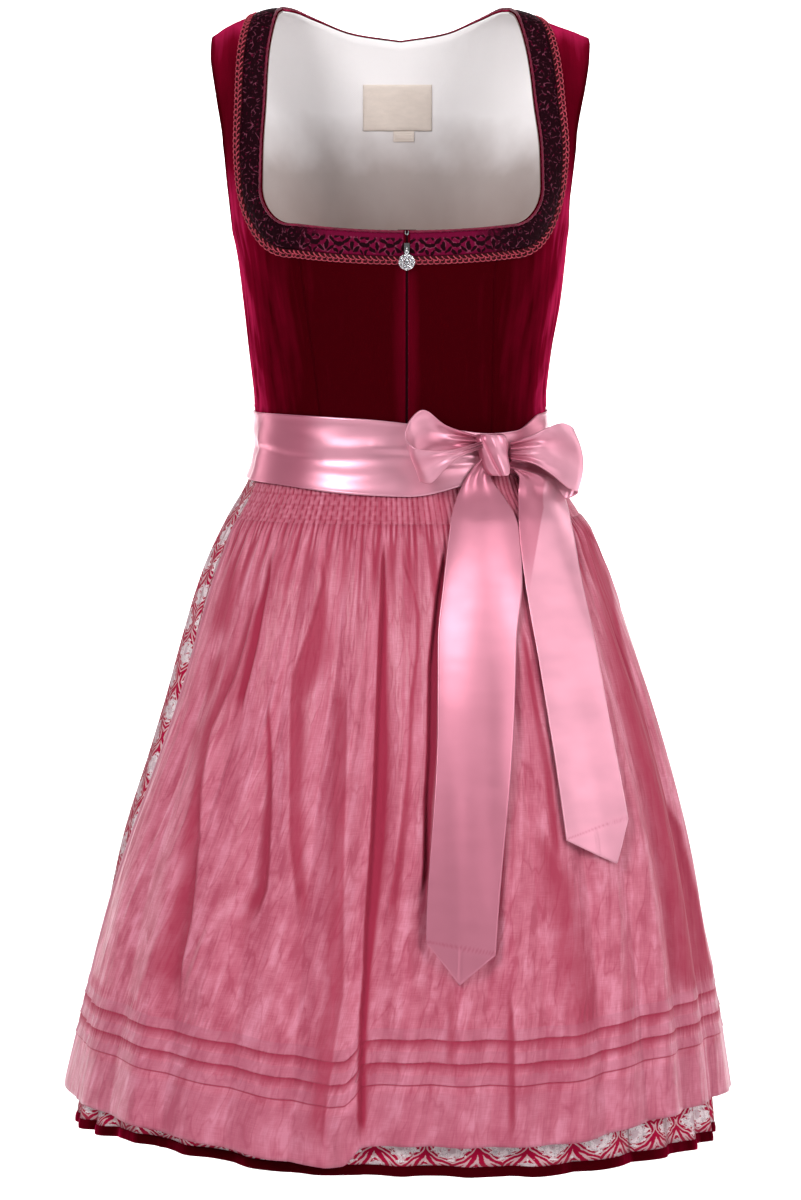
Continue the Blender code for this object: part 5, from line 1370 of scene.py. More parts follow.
# Recesses beside a fold that lies over them: shade, lift of the fold, then in tenths of a millimetre
# down, x of the fold's sharp edge and x where the recess runs out
RECESSES = [
    (0.95, 0.008, [
        (4600, -156, -132), (4875, -169, -130), (5240, -182, -112), (5895, -207, -108),
        (6478, -227, -87), (7205, -258, -112), (7500, -279, -146), (7930, -308, -196),
        (8360, -322, -248), (8673, -347, -271), (9020, -362, -291), (9870, -367, -287),
    ]),
    (0.6, 0.0045, [
        (4690, -674, -650), (5015, -672, -630), (5348, -755, -610), (5607, -843, -590),
        (5805, -909, -671), (6018, -924, -806), (6532, -912, -784), (7218, -911, -811),
        (7732, -862, -778), (7940, -854, -788),
    ]),
    (0.55, 0.0025, [
        (5797, -471, -571), (6010, -441, -577), (6525, -442, -576), (7210, -458, -591),
        (7725, -466, -611), (8502, -473, -627), (8902, -536, -702), (9463, -604, -755),
        (9898, -645, -804),
    ]),
    (0.8, 0.0045, [
        (4682, -1080, -1107), (4998, -1092, -1162), (5257, -1140, -1225), (5533, -1184, -1278),
        (5827, -1247, -1341), (6042, -1303, -1387), (6262, -1357, -1407),
    ]),
    (0.6, 0.0045, [
        (5097, -1194, -1228), (5530, -1287, -1356), (5853, -1372, -1475), (6307, -1541, -1651),
        (6863, -1633, -1736), (7305, -1672, -1797), (7505, -1695, -1821), (8000, -1739, -1933),
        (8387, -1820, -2036), (8765, -1859, -2095),
    ]),
    (0.62, 0.0, [
        (4728, -1359, -1394), (4858, -1381, -1452), (5202, -1399, -1563), (5475, -1460, -1650),
        (5645, -1584, -1661),
    ]),
    (0.6, 0.0, [
        (5547, -1422, -1474), (5727, -1486, -1623), (5980, -1564, -1650), (6198, -1627, -1669),
    ]),
    (0.5, 0.0, [
        (6205, -1669, -1729), (6427, -1674, -1775), (6653, -1737, -1787),
    ]),
    (0.7, 0.0035, [
        (5945, -1084, -1110), (6408, -1075, -1118), (6893, -1064, -1137), (7110, -1070, -1169),
        (7415, -1080, -1178), (7650, -1097, -1237), (7860, -1169, -1314), (8062, -1295, -1397),
    ]),
    (1.0, 0.007, [
        (4645, 374, 417), (4900, 320, 399), (5155, 284, 389), (5700, 229, 334), (6475, 215, 316),
        (6860, 195, 281), (7375, 188, 248), (7720, 171, 224),
    ]),
    (0.6, 0.003, [
        (4685, 9, 34), (4875, 27, 51), (5070, 97, 131), (5285, 131, 173), (5580, 131, 162),
        (5990, 77, 121), (6520, 59, 94), (6870, 24, 77), (7385, -42, 26), (7705, -96, -9),
        (7980, -121, -58),
    ]),
    (0.7, 0.002, [
        (4828, 923, 975), (5510, 907, 965), (6020, 882, 936), (6680, 854, 905), (7380, 821, 884),
        (7977, 785, 834),
    ]),
    (0.6, 0.0015, [
        (5340, 1037, 1004), (5855, 1114, 1071), (6285, 1184, 1134), (6695, 1249, 1189),
        (7228, 1305, 1246), (7485, 1338, 1278),
    ]),
    (0.65, 0.002, [
        (4427, 1496, 1439), (4792, 1644, 1580), (5097, 1777, 1675), (5593, 1885, 1753),
        (6195, 2053, 1862), (6637, 2145, 1979), (7000, 2235, 2060), (7280, 2342, 2076),
        (7870, 2462, 2170), (8538, 2569, 2253), (8790, 2593, 2287),
    ]),
    (0.6, 0.003, [
        (4472, 1456, 1514), (4798, 1667, 1692), (5040, 1776, 1784), (5315, 1878, 1885),
        (5537, 1956, 1961),
    ]),
    (0.5, 0.0, [
        (7050, 1172, 1136), (7262, 1239, 1147), (7728, 1470, 1222), (8153, 1556, 1279),
        (8373, 1589, 1336), (8698, 1655, 1406), (9018, 1707, 1487),
    ]),
    (0.6, 0.003, [
        (8450, 927, 904), (8907, 949, 893), (9440, 957, 901), (9865, 962, 909),
    ]),
    (0.5, 0.0, [
        (8405, 456, 406), (8925, 457, 382), (9313, 449, 383),
    ]),
]


def apron_share(angle, down):
    """Place across the apron, 0 at its left edge and 1 at its right one."""
    left, right = apron_left(down), apron_right(down)
    return (turned(angle) - left) / (right - left)


def gather_crests():
    """Gathers let go under the smocking: place across, reach down, height and half width of each."""
    chance = np.random.default_rng(7)
    crests = []
    for count, reach, height, width in (
        (84, (0.014, 0.042), (0.001, 0.0018), (0.0026, 0.004)),
        (30, (0.05, 0.16), (0.0016, 0.003), (0.004, 0.0075)),
    ):
        for i in range(count):
            place = (i + 0.5 + chance.uniform(-0.22, 0.22)) / count
            crests.append((place, *(chance.uniform(*limits) for limits in (reach, height, width))))
    return crests


def apron_ripples(angle, down):
    """Soft uneven ripples all down the cloth."""
    chance = np.random.default_rng(11)
    share = apron_share(angle, down)
    way = (down - SMOCKING_END) / (HEM - SMOCKING_END)
    total = np.zeros(share.shape)
    for _ in range(70):
        place, drift, start = chance.uniform(0, 1), chance.uniform(-0.02, 0.02), chance.uniform(-0.2, 0.75)
        long, height = chance.uniform(0.15, 0.5), chance.uniform(-0.0018, 0.0024)
        wide = chance.uniform(0.003, 0.01)
        fade = np.sin(pi * np.clip((way - start) / long, 0, 1)) ** 2
        total += height * fade * hump(share - place - drift * way, wide)
    return total


def apron_folds(angle, down):
    """Height over the skirt from the long folds and the flared corners."""
    degrees = turned(angle)
    share = np.clip((down - FOLDS_FROM) / (apron_hem(degrees) - FOLDS_FROM), 0, 1)
    grown = ease(down, FOLDS_FROM, FOLDS_FULL)
    rise = np.zeros(np.broadcast(angle, down).shape)
    for above, below, height, left, right in APRON_FOLDS:
        crest = above * (1 - share) + below * share
        width = np.where(degrees < crest, left, right)
        rise = np.maximum(rise, height * grown * hump(degrees - crest, width))
    left = flare_left(down) * hump(degrees - apron_left(down), FLARE_WIDTH)
    right = flare_right(down) * hump(degrees - apron_right(down), FLARE_WIDTH)
    return rise + left + right


def apron_recesses(angle, down):
    """Lift of the folds beside the recesses, and the painted shade in the recesses."""
    x = body_point(angle, down)[..., 0]
    lift, dark = np.zeros(x.shape), np.zeros(x.shape)
    for shade, height, rows in RECESSES:
        at, sharp, soft = (np.array(column) / TENTHS for column in zip(*rows))
        sharp, soft = np.interp(down, at, sharp), np.interp(down, at, soft)
        wide = np.abs(soft - sharp)
        inside = (x - sharp) * np.sign(soft - sharp)
        long = ease(down, at[0], at[0] + 0.025) * (1 - ease(down, at[-1] - 0.03, at[-1] + 0.002))
        if height > 0:
            start = ease(inside, -0.0012, 0.0012)
            outside = hump(inside, 0.008 + wide)
            over = np.where(inside < 0, outside, 1 - ease(inside, 0, 0.003))
            lift = np.maximum(lift, height * over * long)
        else:
            start = ease(inside, -0.5 * wide, 0.4 * wide)
        # Painted shade in the recess, from the fold's edge across the recess
        dark = np.maximum(dark, shade * start * (1 - ease(inside, 0.55 * wide, 1.35 * wide)) * long)
    return lift, np.clip(1.3 * dark, 0, 1)


def apron_gathers(angle, down):
    """Height of the gathers let go under the smocking."""
    share = apron_share(angle, down)
    gathers = np.zeros(share.shape)
    for place, reach, height, width in gather_crests():
        fade = 1 - ease(down, SMOCKING_END + 0.004, SMOCKING_END + reach)
        wide = width * (1 + 8 * np.clip(down - SMOCKING_END, 0, 0.17))
        gathers = np.maximum(gathers, height * fade * hump(share - place, wide))
    return gathers


def apron_reach(angle, down):
    """How far the apron's face stands over the form, before its tucks and puckers."""
    gathers = apron_gathers(angle, down)
    folds = apron_folds(angle, down)
    start = ease(down, SMOCKING_END - 0.004, SMOCKING_END + 0.012)
    top = np.maximum(gathers, folds) + 0.35 * np.minimum(gathers, folds) + 0.0012
    top = np.maximum(top + apron_ripples(angle, down), 0)
    lift = apron_recesses(angle, down)[0]
    return pleat_depth(down) + APRON_LIE + APRON_CLOTH + (top + lift) * start


def apron_rows():
    """Rows of the apron as (share of the way down to the tucks, height above the hem)."""
    lower = {ABOVE_TUCKS, 0.0}
    for tuck in TUCKS:
        lower |= {tuck + TUCK_DEPTH * t for t in (1.12, 1.0, 0.75, 0.5, 0.25, 0.06, 0.0)}
        lower |= {tuck - 0.0004, tuck - 0.0009}
    lower |= set(np.linspace(0.0, TUCKS[-1] - 0.002, 14))
    rows = [(share, ABOVE_TUCKS) for share in np.linspace(0, 1, 96)[:-1]]
    return rows + [(1.0, above) for above in sorted(lower, reverse=True)]


def turned_under(outer, inner):
    """The face of a cloth with its edges turned under on all four sides."""
    rows, columns = outer.shape[:2]
    pick = [([4, 0], [count - 1, count - 5], count) for count in (rows, columns)]
    along = [np.array([*first, *range(count), *last]) for first, last, count in pick]
    under = [np.array([True, True] + [False] * count + [True, True]) for _, _, count in pick]
    below = under[0][:, None] | under[1][None, :]
    i, j = np.meshgrid(*along, indexing="ij")
    return np.where(below[..., None], inner[i, j], outer[i, j]), i, j


def pin_pleats(across, lean):
    """Height of the pin pleats, 0 to 1; every other one leans to the other side."""
    height = np.zeros(np.broadcast(across, lean).shape)
    for step in (-1, 0, 1):
        number = np.floor(across) + step
        crest = number + 0.5 + lean * np.where(number % 2 == 0, 1, -1)
        height = np.maximum(height, np.sqrt(np.clip(1 - (np.abs(across - crest) / 0.52) ** 2, 0, 1)))
    return height


def apron_places(share):
    """Angle, distance down and height above the hem all over the panel, at these places across."""
    angles, downs, aboves = [], [], []
    top = SMOCKING_END - 0.001
    for way, above in apron_rows():
        down = np.full(len(share), 0.6)
        for _ in range(4):
            degrees = apron_left(down) * (1 - share) + apron_right(down) * share
            hem = apron_hem(degrees)
            down = top + (hem - above - top) * way
        angles.append(np.radians(degrees))
        downs.append(down)
        aboves.append(hem - down)
    return np.array(angles), np.array(downs), np.array(aboves)


def build_apron_panel(taffeta, pleats):
    """The gathered cloth below the smocking, with its tucks and turned edges."""
    share = np.linspace(0, 1, APRON_COLUMNS + 1)
    angle, down, above = apron_places(share)
    base = apron_reach(angle, down)
    relief = np.zeros_like(base)
    u = (share - 0.5)[None, :] * APRON_FULL_WIDTH + 0 * base
    for tuck in TUCKS:
        relief += 0.0009 * np.clip((tuck + TUCK_DEPTH - above) / TUCK_DEPTH, 0, 1) * (above > tuck - 0.0002)
        window = ease(above, tuck + TUCK_DEPTH - 0.001, tuck + TUCK_DEPTH + 0.003)
        window = window * (1 - ease(above, tuck + TUCK_DEPTH + 0.003, tuck + TUCK_DEPTH + 0.016))
        puckers = np.sin(2 * pi * u / 0.005 + 3 * np.sin(u * 90) + tuck * 300)
        relief += 0.0007 * window * puckers
    across = share[None, :] * pleats + 0 * base
    pins = pin_pleats(across, 0 * base)
    let_go = np.random.default_rng(5).uniform(0.01, 0.036, pleats + 2)
    let_go = let_go[np.floor(across).astype(int)]
    below = ease(down, SMOCKING_END - 0.001, SMOCKING_END + let_go)
    relief += 0.0022 * pins * (1 - below)
    side = np.minimum(share, 1 - share)[None, :] * APRON_FULL_WIDTH
    groove = hump(side - SIDE_HEM, 0.0012)
    groove = groove + hump(side - SIDE_HEM + 0.0035, 0.001)
    relief += 0.0004 * (1 - ease(side, SIDE_HEM - 0.0008, SIDE_HEM)) - 0.0004 * groove
    outer = on_skirt(angle, down, base + relief)
    inner = on_skirt(angle, down, base + relief * 0.6 - APRON_UNDER)
    face, i, j = turned_under(outer, inner)
    panel = add_sheet("apron_panel", face, uv_grid(u, -down)[i, j], taffeta)
    # Painted shade: between the gathers and the pin pleats as they let go, in the recesses beside the folds,
    # and in a dark line under each tuck; doubled is the cloth's own darker tone over its hems and tucks
    fine = apron_gathers(angle, down)
    smooth = np.array([np.convolve(np.pad(row, 12, "edge"), np.ones(25) / 25, "valid") for row in fine])
    dark = apron_recesses(angle, down)[1]
    painted_shade = np.clip(np.maximum(dark, np.clip((smooth - fine) / 0.0009, 0, 0.85)), 0, 1)
    painted_shade = np.maximum(painted_shade, np.clip(1.5 * (1 - pins), 0, 1) ** (1 + 3 * below) * (1 - below))
    doubled = 0.5 * (side < SIDE_HEM) + 0.25 * (above < TUCKS[-1] - 0.006)
    for tuck in TUCKS:
        doubled = doubled + 0.35 * ((above < tuck + TUCK_DEPTH) & (above > tuck))
        dark_line = hump(above - tuck + 0.0008, 0.0006)
        painted_shade = np.maximum(painted_shade, 0.95 * dark_line)
    for name, values in (("painted_shade", painted_shade), ("doubled", np.clip(doubled, 0, 0.8))):
        mark_points(panel, name, values[i, j])
    settle(panel, "apron_panel", [outer])


def build_apron_head(taffeta, pleats):
    """The pin pleats under the sash, stitched in rows that pull them to and fro."""
    columns = pleats * 6
    down = np.linspace(SMOCKING_TOP, SMOCKING_END + 0.001, 37)[:, None] + np.zeros(columns + 1)
    share = np.linspace(0, 1, columns + 1)[None, :] + 0 * down
    angle = np.radians(apron_left(down) * (1 - share) + apron_right(down) * share)
    row = (down - SMOCKING_TOP) / STITCHED_EVERY
    zigzag = 1 - 2 * np.abs(row / 2 % 1 * 2 - 1)
    amount = 0.13 * (1 - ease(share, 0.25, 0.5)) + 0.02
    height = pin_pleats(share * pleats, amount * zigzag)
    dimple = hump(row % 1 - 0.5, 0.13) * (0.25 + 0.75 * (1 - ease(share, 0.25, 0.5)))
    height = height * (1 - 0.55 * dimple)
    reach = pleat_depth(down) + APRON_LIE + APRON_CLOTH - 0.0006 + 0.0021 * height
    outer = on_skirt(angle, down, reach)
    inner = on_skirt(angle, down, pleat_depth(down) + APRON_LIE)
    patches = [(outer, inner, uv_grid((share - 0.5) * APRON_FULL_WIDTH, -down))]
    head = lay_cloth("apron_smocking", patches, taffeta)
    # Painted shade between the pin pleats
    mark_wall(head, "painted_shade", 1 - height)


def build_apron(colours, sizes):
    taffeta = taffeta_finish(colours)
    build_apron_panel(taffeta, sizes.pin_pleats)
    build_apron_head(taffeta, sizes.pin_pleats)


# ---- sash and bow

SASH_COLUMNS = 372
SASH_ROWS = 34
SASH_CREASES = [
    (((-78, 0.392), (-60, 0.39), (-46, 0.395), (-32, 0.396)), -0.0012, 0.003),
    (((-70, 0.374), (-48, 0.372), (-25, 0.38)), 0.001, 0.006),
    (((-40, 0.405), (-20, 0.412), (2, 0.411), (22, 0.402)), 0.001, 0.006),
    (((-10, 0.384), (12, 0.39), (30, 0.394), (40, 0.393)), 0.0014, 0.004),
    (((4, 0.397), (20, 0.4), (38, 0.397)), -0.0012, 0.0028),
    (((6, 0.377), (22, 0.383), (38, 0.386)), -0.0012, 0.0026),
    (((48, 0.392), (60, 0.38), (76, 0.368)), 0.002, 0.0045),
    (((50, 0.4), (66, 0.398), (86, 0.402)), -0.0014, 0.0035),
    (((95, 0.385), (130, 0.392), (170, 0.388)), 0.0013, 0.005),
    (((-95, 0.388), (-125, 0.38), (-165, 0.384)), 0.0013, 0.005),
    (((-110, 0.402), (-150, 0.404), (-178, 0.4)), -0.0011, 0.0035),
    (((108, 0.404), (145, 0.402), (178, 0.404)), -0.0011, 0.0035),
    (((100, 0.37), (140, 0.374), (176, 0.37)), -0.0009, 0.003),
]


def sash_reach(angle, down):
    """How far the sash's inner face stands over the form: on the bodice above, on the apron below."""
    degrees = turned(angle)
    left, right = APRON_EDGES[0][1:]
    on_head = ease(degrees, left - 8, left - 1) * (1 - ease(degrees, right + 1, right + 8))
    below = pleat_depth(np.maximum(down, WAIST)) + on_head * (APRON_LIE + APRON_CLOTH + 0.0012)
    return SASH_SNUG + below * ease(down, 0.363, 0.386)


def build_sash(colours):
    """The ribbon round the waist, shaded where the light misses its sides in front."""
    top, bottom = Smooth(SASH_EDGES, 1), Smooth(SASH_EDGES, 2)
    around = np.linspace(-pi, pi, SASH_COLUMNS + 1)[:-1]
    angle, share = np.meshgrid(around, np.linspace(0, 1, SASH_ROWS))
    degrees = turned(angle)
    down = top(degrees) * (1 - share) + bottom(degrees) * share
    relief = ridges(angle, down, SASH_CREASES)
    relief = relief + 0.0004 * np.sin(down * 300 + 2 * np.sin(angle * 3)) * np.sin(pi * share)
    hem = 0.0004 * (hump(share, 0.03) + hump(1 - share, 0.03))
    reach = sash_reach(angle, down) + np.maximum(relief + 0.0012, 0)
    outer, inner = on_skirt(angle, down, reach + RIBBON + hem), on_skirt(angle, down, reach)
    u = np.linspace(-pi, pi, SASH_COLUMNS + 1) * SASH_ROUND
    patches = [(outer, inner, uv_grid(u, -0.06 * np.linspace(0, 1, SASH_ROWS)[:, None]))]
    sash = lay_cloth("sash", patches, satin_finish(colours), wrap=True)
    # Painted shade on the sides in front, where the light misses them
    shaded = 0.85 * (1 - ease(degrees, -40, -26)) * ease(degrees, -110, -75) + 0.8 * ease(degrees, 44, 50)
    shaded = shaded * (1 - ease(np.abs(degrees), 80, 110))
    mark_wall(sash, "painted_shade", np.clip(shaded, 0, 1))


KNOT_X = 0.087
KNOT_DOWN = 0.392
KNOT_HALF_WIDE = 0.014
KNOT_HALF_TALL = 0.018
KNOT_SHIFT = -0.0125
KNOT_LIFT = 0.0005
KNOT_DEEP = 0.019
KNOT_ROUNDING = 2.5
KNOT_COLUMNS = 96
KNOT_ROWS = 60
LOOP_COLUMNS = 150
LOOP_ROWS = 44
TAIL_COLUMNS = 47
TAIL_ROWS = 180
RIBBON_WIDE = 0.058

# The bow's loops in tenths of a millimetre: along the waist, out from the sash, up; each edge from the
# knot's front round to its back
LOOPS = {
    "left": ([
        (-281, 120, 132), (-516, 205, 88), (-821, 240, 71), (-1008, 180, 105), (-1019, 60, 190),
        (-932, -20, 322), (-805, -30, 414), (-584, 10, 277), (-276, 60, 172),
    ], [
        (-281, 120, 61), (-513, 200, 13), (-710, 225, -83), (-830, 170, -214), (-867, 60, -202),
        (-750, -20, -115), (-581, -30, -52), (-420, 10, 6), (-276, 60, 57),
    ]),
    "right": ([
        (17, 120, 112), (144, 200, 157), (316, 240, 233), (513, 190, 268), (698, 60, 173),
        (616, -10, 136), (434, -20, 107), (230, 25, 90), (54, 60, 63),
    ], [
        (18, 120, -38), (186, 200, -75), (368, 225, -177), (563, 180, -304), (729, 80, -380),
        (687, 30, -417), (451, 40, -345), (210, 60, -245), (24, 75, -156),
    ]),
}
BELLY = {"left": -0.002, "right": 0.008}

# The tails: down, left and right edge; then the pointed end as share across and down
TAILS = {
    "left": ([
        (0.3876, 0.07, 0.073), (0.4004, 0.0616, 0.0742), (0.411, 0.0549, 0.0754),
        (0.4295, 0.047, 0.0871), (0.4445, 0.043, 0.0959), (0.456, 0.0414, 0.0994), (0.5, 0.036, 0.102),
        (0.55, 0.0312, 0.097), (0.62, 0.031, 0.094), (0.8, 0.0215, 0.08), (0.85, 0.021, 0.077),
    ], [(0.0, 0.807), (0.5, 0.844), (1.0, 0.818)]),
    "right": ([
        (0.405, 0.09, 0.096), (0.4131, 0.0955, 0.118), (0.4295, 0.0977, 0.135), (0.456, 0.0994, 0.143),
        (0.5, 0.1045, 0.151), (0.55, 0.112, 0.16), (0.62, 0.1215, 0.1705), (0.8, 0.145, 0.2),
    ], [(0.0, 0.722), (0.75, 0.747), (1.0, 0.709)]),
}


def grid_normals(grid):
    """Unit vectors square to a grid."""
    return unit(np.cross(np.gradient(grid, axis=1), np.gradient(grid, axis=0)))


def along_points(rows, count):
    """A smooth curve through the points of a loop's edge."""
    points = np.array(rows) / TENTHS
    length = run_length(points)
    slopes = np.gradient(points, length, axis=0)
    wanted = np.linspace(0, length[-1], count)
    i = np.clip(np.searchsorted(length, wanted, side="right") - 1, 0, len(length) - 2)
    span = (length[i + 1] - length[i])[:, None]
    t = (wanted - length[i])[:, None] / span
    blend = t * t * (3 - 2 * t)
    start, end = span * slopes[i] * t * (1 - t) ** 2, span * slopes[i + 1] * t * t * (t - 1)
    return points[i] * (1 - blend) + points[i + 1] * blend + start + end


def in_bow(points):
    """From the bow's own directions, along the waist, out and up, to places in space."""
    angle = float(angle_at(KNOT_X, KNOT_DOWN))
    foot = on_skirt(angle, KNOT_DOWN, float(sash_reach(angle, KNOT_DOWN)) + RIBBON)
    out = level_normals(angle, KNOT_DOWN)
    along = np.array([-out[1], out[0], 0.0])
    return foot + points[..., :1] * along + points[..., 1:2] * out + points[..., 2:] * (0, 0, 1)


def on_sash(along, up, out):
    """Points over the sash near the knot."""
    start = float(angle_at(KNOT_X, KNOT_DOWN))
    angle = start + along / girth(np.array(start), np.array(KNOT_DOWN))
    down = KNOT_DOWN - up
    return on_skirt(angle, down, sash_reach(angle, down) + RIBBON + out)


def tail_reach(angle, down, around):
    """A tail lies on the sash and the smocking above, then on the highest folds this near in degrees."""
    highest = sash_reach(angle, np.minimum(down, SASH_LOWEST)) + RIBBON + 0.0012
    for shift in np.linspace(-around, around, 11):
        over = apron_reach(angle + radians(shift), down)
        highest = np.where(down > SMOCKING_END - 0.005, np.maximum(highest, over), highest)
    return highest + 0.001


def even_out(grid, reach):
    """The grid's values with anything narrower than this many cells smoothed away."""
    window = np.hanning(2 * reach + 3)[1:-1]
    window /= window.sum()
    for _ in range(2):
        grid = np.array([np.convolve(np.pad(row, reach, "edge"), window, "valid") for row in grid]).T
    return grid


def build_loops(satin):
    """Two loops, each from the knot's front round to its back, gathered where they meet it."""
    for side, (top, bottom) in LOOPS.items():
        high, low = along_points(top, LOOP_COLUMNS), along_points(bottom, LOOP_COLUMNS)
        share = np.linspace(0, 1, LOOP_ROWS)[:, None, None]
        grid = low[None] * (1 - share) + high[None] * share
        bend = hump(np.linspace(0, 1, LOOP_COLUMNS) - 0.48, 0.16)
        grid[..., 0] += BELLY[side] * np.sin(pi * share[..., 0]) * bend
        grid = in_bow(grid)
        length = lengths(grid, 1)
        near = np.minimum(length, length[:, -1:] - length)
        folds = 0.0022 * np.sin(share[..., 0] * pi * 7 + 0.6) * hump(near, 0.022)
        folds = folds + 0.0011 * np.sin(share[..., 0] * pi * 4 + near * 60) * hump(near, 0.05)
        hem = 0.0003 * (hump(share[..., 0], 0.04) + hump(1 - share[..., 0], 0.04))
        out = grid_normals(grid)
        middle = grid + out * folds[..., None]
        thick = (RIBBON / 2 + hem)[..., None]
        outer, inner = middle + out * thick, middle - out * thick
        uv = uv_grid(length, RIBBON_WIDE * share[..., 0])
        loop = add_cloth(f"bow_loop_{side}", [(outer, inner, uv)], satin)
        # Painted shade: deep where the loop gathers into the knot, towards its back end, and in soft bands
        # across it
        painted_shade = 0.08 + 0.92 * hump(near, 0.015) + 0.7 * hump(length[:, -1:] - length, 0.04)
        painted_shade = painted_shade + 0.22 * np.sin(share[..., 0] * pi * 2.6 + 1.0 + length * 30)
        mark_wall(loop, "painted_shade", np.clip(painted_shade, 0, 1))
        settle(loop, f"bow_loop_{side}", [middle])


def build_knot(satin):
    """The knot, a rounded cushion with slanting folds."""
    turn = np.linspace(0, 2 * pi, KNOT_COLUMNS + 1)[:-1]
    turn, height = np.meshgrid(turn, np.linspace(-1, 1, KNOT_ROWS))
    size = 1 - 0.28 * np.abs(height) ** 6 - 0.05 * hump(height, 0.25)
    reach = rounded(turn, KNOT_ROUNDING)
    front = np.clip(np.cos(turn), 0, 1)
    across = np.sin(turn) * reach
    folds = 0.05 * np.sin(9 * across + 2.5 * height + 1.0) * front
    pressed = across + 0.42 + 0.34 * height
    folds = folds - 0.16 * hump(pressed, 0.1) * front
    folds = folds + 0.08 * hump(across + 0.7 + 0.3 * height, 0.14) * front
    along = KNOT_HALF_WIDE * (size * across * (0.84 + 0.16 * height) - 0.12 * height)
    out = SASH_SNUG + KNOT_DEEP / 2 * (1 + (1 + size) / 2 * (np.cos(turn) * reach + folds))
    outer = on_sash(along + KNOT_SHIFT, height * KNOT_HALF_TALL + KNOT_LIFT, out)
    inner = outer * 0.92 + outer.mean(axis=1, keepdims=True) * 0.08
    uv = uv_grid(np.linspace(0, 0.07, KNOT_COLUMNS + 1), 0.02 * np.linspace(-1, 1, KNOT_ROWS)[:, None])
    knot = lay_cloth("bow_knot", [(outer, inner, uv)], satin, wrap=True)
    # Painted light on the knot: a highlight in a slanting band, shade at its sides and along the pressed fold
    painted_highlight = hump(across - 0.25 + 0.3 * height, 0.28)
    painted_shade = 0.55 - 0.5 * painted_highlight + 0.4 * (np.abs(across) > 0.85)
    painted_shade = painted_shade + 0.6 * hump(pressed, 0.12)
    mark_wall(knot, "painted_shade", np.clip(painted_shade, 0, 1))


def build_tails(satin):
    """Two tails with slanting ends, laid over the apron's folds."""
    for side, (table, end) in TAILS.items():
        left, right = Smooth(table, 1), Smooth(table, 2)
        share = np.linspace(0, 1, TAIL_COLUMNS)
        last = np.interp(share, [row[0] for row in end], [row[1] for row in end])
        rows = np.linspace(0, 1, TAIL_ROWS)[:, None]
        start, level = table[0][0], last.mean()
        down = start + (level - start) * rows + (last - level) * rows**7
        x = left(down) * (1 - share) + right(down) * share
        angle = angle_at(x, down)
        least = tail_reach(angle, down, 0.3)
        reach = np.maximum(even_out(tail_reach(angle, down, 5.0), 19), least + 0.0005)
        reach = np.maximum(even_out(reach, 8) + 0.0012, least)
        reach = reach + 0.008 * hump(down - start, 0.014)
        fade = hump(down - start, 0.05)
        folds = 0.0011 * (1 + np.sin(share * pi * 3.2 + 0.5)) * fade
        cup = 0.0016 * (2 * share - 1) ** 2 * ease(down, 0.45, 0.6)
        fold_end = last[0] + (last[-1] - last[0]) * share - 0.001
        step = 0.0002 * ease(down, fold_end, fold_end + 0.002)
        seam = -0.0005 * hump(share - 0.5, 0.012) * ease(down, fold_end, fold_end + 0.001)
        reach = reach + folds + cup + step + seam
        outer, inner = on_skirt(angle, down, reach + RIBBON), on_skirt(angle, down, reach)
        patches = [(outer, inner, uv_grid((share - 0.5) * RIBBON_WIDE, -down))]
        wide = float(lengths(outer, 1)[60, -1])
        tail = lay_cloth(f"bow_tail_{side}", patches, satin, wide=wide)
        # Painted shade: the left tail lightest in its middle, darker towards its top and its end; the right
        # tail shaded left of its turned back edge; a dark line at the seam of each pointed end
        if side == "left":
            shades = [0.8, 0.6, 0.45, 0.35, 0.5, 0.7]
            painted_shade = np.interp(down, [0.39, 0.44, 0.49, 0.54, 0.6, 0.72], shades) + 0 * share
        else:
            turned_back = np.interp(down, [0.405, 0.44, 0.51], [0.115, 0.119, 0.108])
            painted_shade = 0.75 * (1 - ease(x - turned_back, -0.0006, 0.0006)) * (1 - ease(down, 0.47, 0.52))
        painted_shade = np.clip(painted_shade + 0.6 * hump(down - fold_end, 0.0007), 0, 1)
        mark_wall(tail, "painted_shade", painted_shade)


def build_bow(colours):
    """Loops, knot and tails of one ribbon."""
    satin = satin_finish(colours)
    build_loops(satin)
    build_knot(satin)
    build_tails(satin)


# ---- stage

FLOOR_START = -9.0
FLOOR_END = 10.4
CURVE = 1.6
WALL_TOP = 9.0
MIDDLE = (0, 0, -0.5)
CAMERA_PLACE = (0.0, -5.0, -0.03)
CAMERA_PITCH = 5.707
CAMERA_LENS = 167.3


def add_light(name, place, size, power, aim):
    light = bpy.data.lights.new(name, "AREA")
    light.shape = "RECTANGLE"
    light.size, light.size_y = size
    light.energy = power
    lamp = add_object(name, light)
    lamp.location = place
    lamp.rotation_euler = (Vector(aim) - Vector(place)).to_track_quat("-Z", "Y").to_euler()


